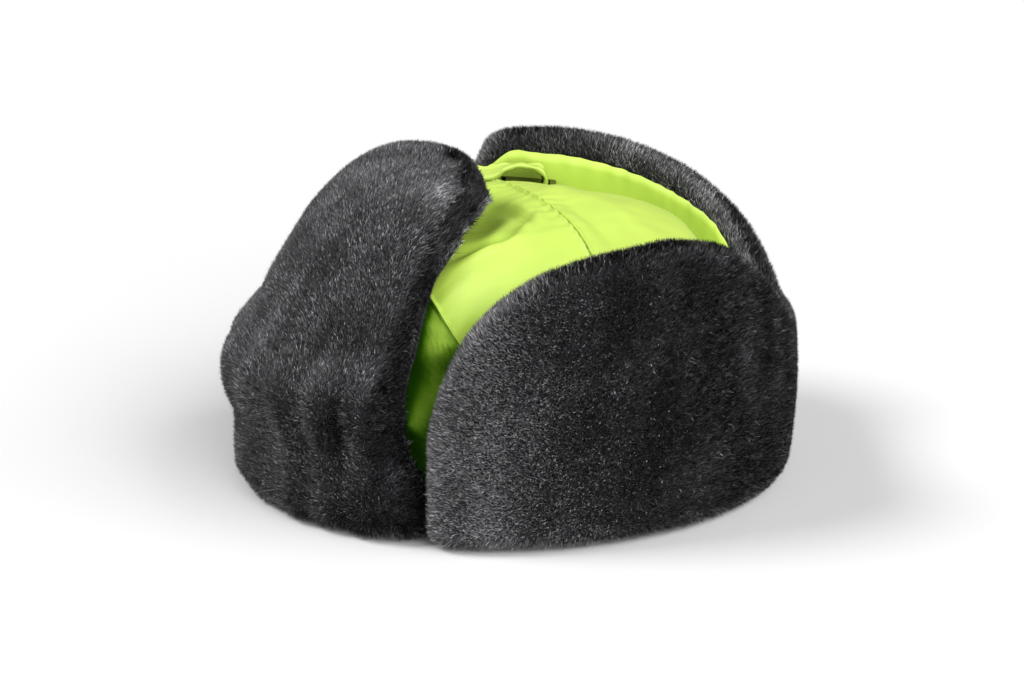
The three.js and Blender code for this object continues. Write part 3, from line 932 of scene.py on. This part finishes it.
def padded_panel(s, name, start, end, seed, ridge):
    """One padded crown panel: its outer cloth is filled by simulation and drawn in at the seams."""
    rough_columns, rough_rows, columns, rows = 48, 24, 130, 52
    us, vs = np.linspace(0, 1, rough_columns + 1), np.linspace(0, 1, rough_rows + 1)
    plan, _ = panel_plan(s, start, end, us, vs)
    flat, normal = crown_at_plan(s, plan)
    sewn = np.zeros(flat.shape[:2], bool)
    sewn[0] = sewn[-1] = sewn[:, 0] = sewn[:, -1] = True
    filled = simulated(flat, quads(*flat.shape[:2], 0, True), sewn, growth=0.02, pressure=3, cap=3 * MM)
    swell = ((filled - flat) * normal).sum(-1)

    us, vs = np.linspace(0, 1, columns + 1), edge_steps(rows, 0.86)
    plan, length = panel_plan(s, start, end, us, vs)
    point, normal = crown_at_plan(s, plan)
    swell = sampled(swell, us * rough_columns, vs * rough_rows)
    to_cross = vs[None, :] * length[:, None]
    to_band = (1 - vs[None, :]) * length[:, None]
    seam_run = path_length(point[:, 0])[:, None] + 0 * to_cross
    rim_run = path_length(point[:, -1])[:, None] + 0 * to_band
    relief = seam_relief(to_cross, seam_run, seed, ridge, crest=1.1 * MM, valley=0.6 * MM)
    relief += seam_relief(to_band, rim_run, seed + 7, 1.3 * MM, crest=0.4 * MM, valley=0.1 * MM)
    soft = 0.45 * MM * ripple(point, 38 * MM, seed + 3) + 0.15 * MM * ripple(point, 14 * MM, seed + 4)
    to_seam = np.minimum(to_cross, to_band)
    inside = 1 - decay(to_seam, SOFT_FROM_SEAM)
    soft += bumps(CROWN_FOLDS, 1, point[..., 0], point[..., 1])
    outer = point + normal * (swell + relief + soft * inside)[..., None]
    drawn_in = 0.9 * MM * bell(to_seam, 1.2 * MM)
    inner = point - normal * (s.crown_wall - drawn_in)[..., None]
    uv = np.stack([seam_run, to_cross], axis=-1)
    return walled(name, outer, inner, uv)


def padded_band(s, name, seed):
    """The padded band round the head, up to the crown's seam."""
    columns, rows = 240, 24
    angle = np.linspace(-90, 270, columns + 1)[:, None]
    vs = edge_steps(rows, 0.7)[None, :]
    top = place_at_height(s, angle, band_height(angle))
    point, normal = crown_at_place(s, angle, top * np.sqrt(vs), True)
    point[:, 0, 2] = 0
    length = path_length(point)
    to_seam = length[:, -1:] - length
    run = path_length(point[:, -1])[:, None] + 0 * length
    stretched = point * np.array([0.3, 0.3, 1])
    around = np.minimum(np.abs(angle + 90), np.abs(270 - angle))
    closing = 1 - bell(around, 6)
    crumple = 1.1 * MM * ripple(stretched, 11 * MM, seed + 3)
    crumple += 0.5 * MM * ripple(stretched, 6 * MM, seed + 4)
    inside = (1 - decay(to_seam, SOFT_FROM_SEAM)) * (1 - decay(length, 6 * MM)) * closing
    relief = seam_relief(to_seam, run, seed, 0.8 * MM, crest=0.4 * MM, valley=0.1 * MM)
    radius = np.hypot(point[..., 0], point[..., 1])
    relief -= fold_depth(BAND_FOLDS, lambda row: np.radians(angle - row["angle"]) * radius,
                         lambda row: point[..., 2] - row["height"] * MM)
    outer = point + normal * (relief * mix(1, closing, 0.5) + crumple * inside)[..., None]
    hem = 1.6 * MM * bell(length, 2.2 * MM)
    outer -= normal * hem[..., None]
    inner = point - normal * (s.crown_wall - 0.6 * hem)[..., None]
    outer[-1], inner[-1] = outer[0], inner[0]
    uv = np.stack([run, length], axis=-1)
    return walled(name, outer, inner, uv, ring=True)


def finished(thing, material, nodes=()):
    """Gives a piece its material, hides the solids that it stands for and puts it under the root body."""
    thing.data.materials.append(material)
    if nodes:
        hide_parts(*nodes)
    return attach(thing, "root")


class HAT_OT_crown(bpy.types.Operator):
    """Makes the crown's two padded panels and the band round the head"""

    bl_idname = "hat.crown"
    bl_label = "Crown"

    def execute(self, context):
        s = context.scene.hat_sizes
        base = linear(context.scene.hat_finish.cloth)
        # Both cloths carry painted corner shade by their share; the band's copy has the full painted shade
        # in its corners and shines less
        cloth = woven_polyester("Woven high-visibility polyester", base, corner_shade_share=0.45, gloss=1)
        band_cloth_with_painted_shade = woven_polyester("Woven high-visibility polyester band with painted shade", base, corner_shade_share=1, gloss=0.25)
        front = padded_panel(s, "crown_front_cloth", s.seam_right - 360, s.seam_left, 21, 1.1 * MM)
        rear = padded_panel(s, "crown_rear_cloth", s.seam_left, s.seam_right, 41, 0.5 * MM)
        band = padded_band(s, "side_band_cloth", 61)
        finished(front, cloth, ["crown_front_panel"])
        finished(rear, cloth, ["crown_rear_panel"])
        finished(band, band_cloth_with_painted_shade, ["side_band"])
        return {"FINISHED"}


# The flaps' facings

def ear_facing(s, name):
    """The cloth side of the ear and nape flap, a little slack between its seams."""
    us, vs = np.linspace(0, 1, 201)[:, None], edge_steps(14, 0.5)[None, :]
    inset = math.degrees(s.end_roll / s.head_half_length)
    angle = mix(s.flap_front + inset, s.flap_right - inset, us)
    top = flap_top(angle) - MM * along(FLAP_TOP, "angle", "roll", angle)
    height = mix(s.facing_foot, top, vs)
    point = flap_point(s, angle, height, -s.cloth_gap - s.cloth_thickness / 2)
    way = unit(point * np.array([1, 1, 0]))
    run = path_length(point[:, 0])[:, None] + 0 * height
    to_edge = np.minimum(top - height, height - s.facing_foot)
    stretched = point * np.array([1, 1, 0.6])
    slack = 0.6 * MM * ripple(stretched, 26 * MM, 81) * (1 - decay(to_edge, 6 * MM))
    gathers = ripple(run[..., None], PUCKER_PITCH, 82)
    gathers += 0.5 * ripple(run[..., None], PUCKER_PITCH / 2, 83)
    slack += 0.55 * MM * gathers * decay(top - height, 5 * MM)
    half = s.cloth_thickness / 2 * (1 - 0.5 * bell(to_edge, 1.5 * MM))
    outer = point + way * (half + slack)[..., None]
    inner = point - way * (half - slack)[..., None]
    uv = np.stack([run, height], axis=-1)
    return walled(name, outer, inner, uv)


def front_facing(s, name):
    """The cloth side of the front flap, which lies on the crown."""
    us, vs = np.linspace(0, 1, 71)[:, None], np.linspace(0.04, 1, 45)[None, :]
    angle, _, place = front_flap_place(s, us, vs, s.front_roll)
    base, normal = crown_at_place(s, angle, place, False)
    inner = base + normal * s.front_stand_off
    outer = inner + normal * s.cloth_thickness
    uv = np.stack([path_length(inner.swapaxes(0, 1)).T, path_length(inner)], axis=-1)
    return walled(name, outer, inner, uv)


class HAT_OT_facings(bpy.types.Operator):
    """Makes the cloth sides of the two flaps"""

    bl_idname = "hat.facings"
    bl_label = "Flap facings"

    def execute(self, context):
        s = context.scene.hat_sizes
        base = linear(context.scene.hat_finish.cloth)
        cloth = woven_polyester("Woven high-visibility facing", base, corner_shade_share=0.1, gloss=1)
        ear = ear_facing(s, "ear_nape_facing_cloth")
        finished(ear, cloth, ["ear_nape_flap_facing"])
        front = front_facing(s, "front_facing_cloth")
        finished(front, cloth, ["front_flap_facing"])
        return {"FINISHED"}


# The fur

def fur_outline(s, surface, columns, rows):
    """The points, normals and faces of the fur's outline."""
    us, vs = np.linspace(0, 1, columns + 1)[:, None], np.linspace(0, 1, rows + 1)[None, :]
    outer, inner = surface(s, us, vs, True), surface(s, us, vs, False)
    mesh = mesh_of("pad", np.stack([outer, inner]), shell_faces(columns + 1, rows + 1), None, 1e-5)
    points, normals = mesh_values(mesh, "co") - HEAD_CENTRE, mesh_values(mesh, "normal")
    faces = [tuple(face.vertices) for face in mesh.polygons]
    bpy.data.meshes.remove(mesh)
    return points, normals, faces


def head_angle(s, points):
    """The angle round the head of each point on the flaps."""
    y = points[:, 1] / (s.head_half_length + s.ear_fur)
    x = points[:, 0] / (s.head_half_width + s.ear_fur)
    return np.degrees(np.arctan2(y, x))


def flap_angle(s, points):
    """The same, growing without a step from the left end of the ear and nape flap to the right."""
    angle = head_angle(s, points)
    return np.where(angle < -90, angle + 360, angle)


def ear_fur_folds(s, points):
    angle = flap_angle(s, points)
    radius = np.hypot(points[:, 0], points[:, 1])
    below = flap_top(angle) - points[:, 2]
    return fold_depth(EAR_FUR_FOLDS, lambda row: np.radians(angle - row["angle"]) * radius,
                      lambda row: below - row["below"] * MM)


def front_fur_folds(s, points):
    angle = head_angle(s, points)
    radius = np.hypot(points[:, 0], points[:, 1])
    return fold_depth(FRONT_FUR_FOLDS, lambda row: points[:, 2] - row["height"] * MM,
                      lambda row: np.radians(angle - row["angle"]) * radius)


def fur_backing_piece(s, fur, name, surface, steps, folds):
    """The backing that the hairs stand in: the fur's outline, folded and drawn in by the pile's
    depth, then filled by simulation like a pad."""
    points, normals, faces = fur_outline(s, surface, *steps)
    start = points - normals * (folds(s, points) + fur.pile_depth)[:, None]
    at_foot = points[:, 2] < 3 * MM
    filled = simulated(start, faces, at_foot, growth=0.01, pressure=3, cap=1.5 * MM)
    mesh = bpy.data.meshes.new(name)
    mesh.from_pydata(filled + HEAD_CENTRE, [], faces)
    mesh.shade_smooth()
    return new_object(name, mesh)


def pad_triangles(pad):
    """A backing's points, normals and triangles, and each triangle's middle and normal."""
    mesh = pad.data
    mesh.calc_loop_triangles()
    corners = np.empty(len(mesh.loop_triangles) * 3, np.int32)
    mesh.loop_triangles.foreach_get("vertices", corners)
    triangles = corners.reshape(-1, 3)
    points, normals = mesh_values(mesh, "co") - HEAD_CENTRE, mesh_values(mesh, "normal")
    return points, normals, triangles, points[triangles].mean(1), normals[triangles].mean(1)


def triangle_areas(points, triangles):
    """Twice the area of each triangle."""
    a, b, c = (points[triangles[:, k]] for k in range(3))
    return np.linalg.norm(np.cross(b - a, c - a), axis=-1)


def clump_draws(points, size, seed):
    """Three random numbers for each point, alike within a clump of hairs: its cell's indices are
    mixed with large primes."""
    warped = points + 0.6 * size * np.stack([ripple(points, 3 * size, seed + k) for k in range(3)], axis=-1)
    cell = np.floor(warped / size).astype(np.int64)
    key = cell[:, 0] * 73856093 ^ cell[:, 1] * 19349663 ^ cell[:, 2] * 83492791
    values = []
    for k in range(3):
        mixed = (key * (2654435761 + 40503 * k) + seed * 97 + k * 7919) & 0xFFFFFFFF
        mixed = ((mixed ^ (mixed >> 15)) * 2246822519) & 0xFFFFFFFF
        values.append(((mixed ^ (mixed >> 13)) & 0xFFFF) / 65535)
    return np.stack(values, axis=-1)


def hairs(fur, name, points, normals, triangles, weight, count, comb, outward, roll_painted_shade, middle, seed):
    """A piece of pile: one blade for each hair, rooted at random on the triangles by weight.
    Its tone is about the middle one, with painted shade where the surface turns from the way out, or
    painted light where that share is negative."""
    draw = np.random.default_rng(fur.seed * 1000 + seed)
    area = triangle_areas(points, triangles) * weight
    chosen = draw.choice(len(triangles), size=count, p=area / area.sum())
    r = draw.random((count, 2))
    flip = r.sum(-1) > 1
    r[flip] = 1 - r[flip]
    parts = np.stack([1 - r.sum(-1), r[:, 0], r[:, 1]], axis=-1)[..., None]
    root = (points[triangles[chosen]] * parts).sum(1)
    normal = unit((normals[triangles[chosen]] * parts).sum(1))
    clump = clump_draws(root, fur.clump, fur.seed)
    lean = comb(root, normal)
    lean = unit(lean - normal * (lean * normal).sum(-1, keepdims=True))
    stray = draw.normal(size=(count, 3)) * STRAY + (clump - 0.5) * CLUMP_STRAY
    stray -= normal * (stray * normal).sum(-1, keepdims=True)
    way = unit(normal * UPRIGHT + lean * COMBED + stray)
    length = fur.hair_length * draw.uniform(0.65, 1.1, count)[:, None]
    side = unit(np.cross(way, draw.normal(size=(count, 3))))
    half = fur.hair_width / 2 * draw.uniform(0.6, 1.3, count)[:, None]
    tip = root + way * length
    cut = tip - way * length * 0.4 + side * half
    corners = np.stack([root - normal * MM, tip - side * half, cut], axis=1)
    corners[..., 2] = np.maximum(corners[..., 2], 0.4 * MM)
    face_way = np.cross(way, side)
    face_way *= np.sign((face_way * normal).sum(-1, keepdims=True))
    shading = unit(normal * 0.65 + face_way * 0.55)
    patch = ripple(root * np.array([1, 1, 0.35]), 17 * MM, fur.seed + 50)
    # Painted shade, or painted light where the share is negative, where the surface turns from the way out
    turned = np.clip(1 - (normal * unit(root * outward)).sum(-1), 0, 0.6)
    tone = middle - roll_painted_shade * turned + HAIR_TONE * draw.normal(size=count)
    tone += PATCH_TONE * patch + CLUMP_TONE * (clump[:, 0] - 0.5)
    return hair_mesh(name, corners, shading, np.clip(tone, 0, 1))


def hair_mesh(name, corners, shading, tone):
    """The mesh of many hairs, each a blade of three corners: root, tip and the cut below it. On
    the map they keep off its edges, and each has a little width."""
    count = len(corners)
    faces = np.arange(count * 3)
    mesh = bpy.data.meshes.new(name)
    mesh.vertices.add(count * 3)
    mesh.vertices.foreach_set("co", (corners + HEAD_CENTRE).astype(np.float32).ravel())
    mesh.loops.add(count * 3)
    mesh.loops.foreach_set("vertex_index", faces.astype(np.int32).ravel())
    mesh.polygons.add(count)
    mesh.polygons.foreach_set("loop_start", np.arange(0, count * 3, 3, dtype=np.int32))
    mesh.update(calc_edges=True)
    middle, half = 0.02 + 0.96 * tone, 0.012
    u = np.stack([middle, middle - half, middle + half], axis=-1)
    v = np.broadcast_to(np.array([0.02, 0.98, 0.7]), u.shape)
    uv = np.stack([u, v], axis=-1).astype(np.float32).ravel()
    for map_name in ("pile", "OFBake"):
        mesh.uv_layers.new(name=map_name).data.foreach_set("uv", uv)
    mesh.shade_smooth()
    mesh.normals_split_custom_set_from_vertices(np.repeat(shading, 3, axis=0))
    return new_object(name, mesh)


def combed(s, rows):
    """The way the hairs lean: up the flap to its top edge and sideways as the table says."""
    def lean(points, normals):
        angle = head_angle(s, points)
        turn = np.radians(angle)
        sideways = along(rows, "angle", "sideways", angle)
        return stacked(-np.sin(turn) * sideways, np.cos(turn) * sideways, 1)
    return lean


def ear_pile(s, fur, pad):
    """The ear and nape flap's hairs, in three pieces: left, nape and right."""
    points, normals, triangles, centre, facing = pad_triangles(pad)
    angle = flap_angle(s, centre)
    outward = np.array([1, 1, 0])
    rolled = (facing * unit(centre * outward)).sum(-1) < EAR_ROLL
    below = flap_top(angle) - centre[:, 2]
    shown = (~rolled | (below < INNER_FUR)) & (facing[:, 2] > UNDERSIDE)
    made = []
    area = triangle_areas(points, triangles) * shown
    pieces = (("ear_pile_left", -60, 50), ("nape_pile", 50, 130), ("ear_pile_right", 130, 240))
    for i, (name, start, end) in enumerate(pieces):
        inside = (angle >= start) & (angle < end)
        count = int(fur.ear_hairs * area[inside].sum() / area.sum())
        made.append(hairs(fur, name, points, normals, triangles, shown * inside, count,
                          combed(s, EAR_NAP), outward, EAR_ROLL_PAINTED_SHADE, fur.ear_tone_with_painted_light, 3 + i))
    return made


def front_pile(s, fur, pad):
    """The front flap's hairs, in two pieces."""
    points, normals, triangles, centre, facing = pad_triangles(pad)
    outward = 1 / np.array([s.head_half_width, s.head_half_length, s.crown_height]) ** 2
    shown = (facing * unit(centre * outward)).sum(-1) > FRONT_ROLL
    made = []
    for i, name in enumerate(("front_pile_right", "front_pile_left")):
        inside = centre[:, 0] * (2 * i - 1) > 0
        made.append(hairs(fur, name, points, normals, triangles, shown * inside, fur.front_hairs // 2,
                          combed(s, FRONT_NAP), outward, FRONT_ROLL_PAINTED_LIGHT, fur.front_tone_with_painted_shade, 13 + i))
    return made


class HAT_OT_fur(bpy.types.Operator):
    """Makes the fur of both flaps: the filled backing and the hairs on it"""

    bl_idname = "hat.fur"
    bl_label = "Fur"

    def execute(self, context):
        s, fur = context.scene.hat_sizes, context.scene.hat_fur
        look = context.scene.hat_finish
        backing, pile = fur_backing(look), acrylic_pile(look)
        ear = fur_backing_piece(s, fur, "ear_nape_fur_backing", ear_fur_surface, (150, 26), ear_fur_folds)
        front = fur_backing_piece(s, fur, "front_fur_backing", front_fur_surface, (70, 56), front_fur_folds)
        finished(ear, backing, ["ear_nape_flap_fur"])
        finished(front, backing, ["front_flap_fur"])
        for thing in ear_pile(s, fur, ear) + front_pile(s, fur, front):
            finished(thing, pile)
        return {"FINISHED"}


# The chin strap

def curve_through(points, steps):
    """A centripetal curve through the points, with so many steps between each two."""
    first, last = 2 * points[0] - points[1], 2 * points[-1] - points[-2]
    points = np.vstack([first, points, last])
    made = []
    for i in range(1, len(points) - 2):
        p = points[i - 1:i + 3]
        knots = np.concatenate([[0], np.cumsum(np.sqrt(np.linalg.norm(np.diff(p, axis=0), axis=-1)))])
        t = np.linspace(knots[1], knots[2], steps, endpoint=False)[:, None]
        level = list(p)
        for width in (1, 2):
            level = [((knots[k + width] - t) * level[k] + (t - knots[k]) * level[k + 1])
                     / (knots[k + width] - knots[k]) for k in range(4 - width)]
        middle = ((knots[2] - t) * level[0] + (t - knots[1]) * level[1]) / (knots[2] - knots[1])
        made.append(middle)
    return np.vstack(made + [points[-2:-1]])


def buckle_seat(s):
    """The buckle's middle, the way out from the head there and the way to its rear end."""
    turn = math.radians(s.buckle_angle)
    x, y = math.cos(turn), math.sin(turn)
    outward = unit(np.array([x / s.gutter_half_width, y / s.gutter_half_length, 0]))
    centre = np.array([s.gutter_half_width * x, s.gutter_half_length * y, 0])
    return centre, outward, np.array([outward[1], -outward[0], 0])


def at_buckle(s, rows):
    """Strap places along the buckle: centres and the way the strap's width points."""
    centre, outward, rearward = buckle_seat(s)
    places = centre + rearward * rows["at"][:, None] * MM
    places[:, 2] = (rows["near"] + rows["far"]) / 2 * MM
    wide = outward * s.strap_width + np.array([0, 0, MM]) * (rows["far"] - rows["near"])[:, None]
    return places, unit(wide)


def in_gutter(s, rows):
    """Strap places about every five degrees in the gutter, from a table's last angle to its first."""
    start, end = rows["angle"][-1], rows["angle"][0]
    count = math.ceil(abs(end - start) / 5)
    angle = np.linspace(start, end, count + 1)
    height = MM * along(rows, "angle", "height", angle)
    places = flap_point(s, angle, height, -MM * along(rows, "angle", "inside", angle))
    outward = stacked(np.cos(np.radians(angle)), np.sin(np.radians(angle)), 0)
    up = np.array([0, 0, 1.0])
    return places, unit(mix(outward, up, along(rows, "angle", "edge", angle)[:, None]))


def stitches(s, name, lines):
    """Sewing stitches in one mesh. Each line is a row of points and the way out at each."""
    middles, ways, outs = [], [], []
    for points, out in lines:
        length = path_length(points)
        count = int(length[-1] / s.stitch_pitch)
        parts = (np.arange(count) + 0.5) / count
        middle, upright = spaced(points, length, parts), unit(spaced(out, length, parts))
        way = unit(spaced(points, length, parts + 0.2 / count) - middle)
        middles.append(middle)
        ways.append(way)
        outs.append(unit(upright - way * (upright * way).sum(-1, keepdims=True)))
    middle, way, out = (np.concatenate(part)[:, None, None] for part in (middles, ways, outs))
    side = np.cross(way, out)
    rings, sides = 5, 6
    at = np.array([-1, -0.75, 0, 0.75, 1])[None, :, None, None]
    radius = s.thread_width / 2 * np.array([0.2, 0.8, 1, 0.8, 0.2])[None, :, None, None]
    turn = np.linspace(0, 2 * math.pi, sides + 1)[None, None, :, None]
    sunk = s.thread_width * (0.5 * at ** 2 - 0.15)
    points = middle + way * at * 0.4 * s.stitch_pitch - out * sunk
    points = points + radius * (side * np.cos(turn) + out * np.sin(turn))
    one, size = quads(rings, sides + 1), rings * (sides + 1)
    faces = (one[None] + size * np.arange(len(points))[:, None, None]).reshape(-1, 4)
    return new_object(name, mesh_of(name, points, faces, None, 1e-7))


def folded_strap(s, name, runs, seed):
    """A strap of folded cloth along its runs, with a sewn and puckered rim along each edge."""
    centres = np.vstack([run[0] for run in runs])
    wides = np.vstack([run[1] for run in runs])
    steps = 12
    rough = curve_through(centres, steps)
    wide = np.stack([np.interp(np.arange(len(rough)) / steps, np.arange(len(wides)), column)
                     for column in wides.T], axis=-1)
    length = path_length(rough)
    count = int(length[-1] / (1.3 * MM))
    parts = np.linspace(0, 1, count + 1)
    route, wide = spaced(rough, length, parts), spaced(wide, length, parts)
    forward = unit(np.gradient(route, axis=0))
    wide = unit(wide - forward * (wide * forward).sum(-1, keepdims=True))
    thick = np.cross(wide, forward)
    across = (edge_steps(22, 0.6) - 0.5)[None, :]
    run = (parts * length[-1])[:, None]
    from_edge = (0.5 - np.abs(across)) * s.strap_width
    side = np.sign(across)
    place = stacked(run, 40 * MM * side, 0)
    rim = bell(from_edge - 1.4 * MM, 1.3 * MM)
    groove = bell(from_edge - STRAP_SEAM, 0.6 * MM)
    pucker = ripple(place, 3.4 * MM, seed)
    half = s.strap_thickness / 2 * (round_edge(from_edge, 0.8 * MM, 0.25) + 0 * run)
    relief = (0.5 * rim * (1 + 0.8 * pucker) - 0.45 * groove) * MM
    wave = 0.7 * MM * rim * ripple(place, 7 * MM, seed + 1)
    wave = wave + 0.25 * MM * (1 - rim) * ripple(place * 0.8 + 0.3 * from_edge[..., None], 6 * MM, seed + 2)
    narrowed = 1 - 0.04 * rim * (1 + pucker)
    flat = route[:, None] + wide[:, None] * (across * narrowed * s.strap_width)[..., None]
    upper = flat + thick[:, None] * (wave - half - relief)[..., None]
    lower = flat + thick[:, None] * (wave + half + relief)[..., None]
    uv = np.stack([run + 0 * from_edge, across * s.strap_width + 0 * run], axis=-1)
    strap = walled(name, upper, lower, uv, weld=1e-7)
    lines = []
    sewn = slice(UNSTITCHED_ENDS, -UNSTITCHED_ENDS)
    for edge in (1, -1):
        column = np.argmin(np.abs(from_edge - STRAP_SEAM) + s.strap_width * (side * edge < 0))
        lines.append((upper[sewn, column], -thick[sewn]))
        lines.append((lower[sewn, column], thick[sewn]))
    return strap, length[-1], lines


class HAT_OT_chin_strap(bpy.types.Operator):
    """Makes the chin strap's two halves and the buckle that joins them"""

    bl_idname = "hat.chin_strap"
    bl_label = "Chin strap and buckle"

    def execute(self, context):
        s, look = context.scene.hat_sizes, context.scene.hat_finish
        base = linear(look.strap)
        cloth = woven_polyester("Folded and sewn polyester strap", base, corner_shade_share=0.4, gloss=0.8)
        thread = spun_thread(linear(look.thread))
        long_runs = [at_buckle(s, LONG_OVER_BUCKLE), in_gutter(s, LONG_IN_GUTTER)]
        short_runs = [in_gutter(s, SHORT_IN_GUTTER), at_buckle(s, SHORT_ROUND_BAR)]
        for part, runs, seed in (("long", long_runs, 91), ("short", short_runs, 95)):
            strap, length, lines = folded_strap(s, "chin_strap_" + part + "_cloth", runs, seed)
            finished(stitches(s, "chin_strap_" + part + "_stitches", lines), thread)
            finished(strap, cloth, ["chin_strap_" + part])
        buckle = new_object("buckle_moulding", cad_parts["strap_buckle"].data.copy())
        buckle.data.materials.clear()
        rounding = buckle.modifiers.new("Rounding", "BEVEL")
        rounding.width = s.buckle_bevel
        rounding.segments = 3
        rounding.limit_method = "ANGLE"
        buckle.data.shade_smooth()
        finished(buckle, moulded_acetal(look), ["strap_buckle"])
        return {"FINISHED"}


# The stage

def soft_light(name, way, spread, strength):
    """Even light from one way, as soft as from a large panel that spans this angle."""
    light = bpy.data.lights.new(name, "SUN")
    light.angle = math.radians(spread)
    light.energy = strength
    lamp = new_object(name, light)
    lamp.location = way
    lamp.rotation_mode = "QUATERNION"
    lamp.rotation_quaternion = (-way).to_track_quat("-Z", "Y")


def direction(azimuth, elevation):
    """The way from the hat to something at this azimuth and elevation."""
    a, e = math.radians(azimuth), math.radians(elevation)
    return Vector((math.sin(a) * math.cos(e), -math.cos(a) * math.cos(e), math.sin(e)))


class HAT_OT_stage(bpy.types.Operator):
    """Makes the camera, the lights and the floor"""

    bl_idname = "hat.stage"
    bl_label = "Stage"

    def execute(self, context):
        scene, look = context.scene, context.scene.hat_finish
        stage = scene.hat_stage
        aim = Vector((0, 0, stage.aim_height))
        camera = bpy.data.cameras.new("Camera")
        camera.sensor_width = 36
        picture_width = 1024
        camera.lens = stage.lens_pixels * camera.sensor_width / picture_width
        camera.clip_start, camera.clip_end = 0.05, 20
        eye = new_object("Camera", camera)
        back = direction(stage.azimuth, stage.elevation)
        eye.location = aim + back * stage.distance
        eye.rotation_mode = "QUATERNION"
        eye.rotation_quaternion = (-back).to_track_quat("-Z", "Y")
        scene.camera = eye

        for light_name, azimuth, elevation, spread, strength in (
            ("Key", -4, 52, 24, stage.key_light),
            ("Back", 152, 42, 40, stage.back_light),
            ("Fill", 102, 30, 50, stage.fill_light),
        ):
            soft_light(light_name, direction(azimuth, elevation), spread, strength)
        world = bpy.data.worlds.new("Studio")
        world.use_nodes = True
        background = world.node_tree.nodes["Background"]
        background.inputs["Color"].default_value = (1, 1, 1, 1)
        background.inputs["Strength"].default_value = stage.sky
        scene.world = world
        scene.view_settings.view_transform = "Standard"

        half = stage.floor_width / 2
        corners = np.array([(-half, -half), (half, -half), (half, half), (-half, half)])
        points = np.column_stack([corners, np.zeros(4)])
        mesh = bpy.data.meshes.new("floor")
        mesh.from_pydata(points, [], [(0, 1, 2, 3)])
        floor = new_object("floor", mesh)
        floor.data.materials.append(studio_paper(look))
        return {"FINISHED"}


OPERATORS = (HAT_OT_stage, HAT_OT_crown, HAT_OT_facings, HAT_OT_chin_strap, HAT_OT_fur)
GROUPS = {"hat_sizes": HatSizes, "hat_fur": FurSizes, "hat_finish": Finish, "hat_stage": StageSizes}


class HAT_PT_panel(bpy.types.Panel):
    """Lists the hat's pieces and their settings"""

    bl_label = "Winter hat"
    bl_idname = "HAT_PT_panel"
    bl_space_type = "VIEW_3D"
    bl_region_type = "UI"
    bl_category = "Hat"

    def draw(self, context):
        for operator in OPERATORS:
            self.layout.operator(operator.bl_idname)
        for name, group in GROUPS.items():
            box = self.layout.box()
            for setting in group.__annotations__:
                box.prop(getattr(context.scene, name), setting)


def register():
    for kind in (*GROUPS.values(), *OPERATORS, HAT_PT_panel):
        bpy.utils.register_class(kind)
    for name, group in GROUPS.items():
        setattr(bpy.types.Scene, name, PointerProperty(type=group))


def unregister():
    for name in GROUPS:
        delattr(bpy.types.Scene, name)
    for kind in (HAT_PT_panel, *reversed(OPERATORS), *GROUPS.values()):
        bpy.utils.unregister_class(kind)


def main():
    register()
    bpy.ops.hat.stage()
    bpy.ops.hat.crown()
    bpy.ops.hat.facings()
    bpy.ops.hat.chin_strap()
    bpy.ops.hat.fur()


if __name__ == "__main__":
    main()
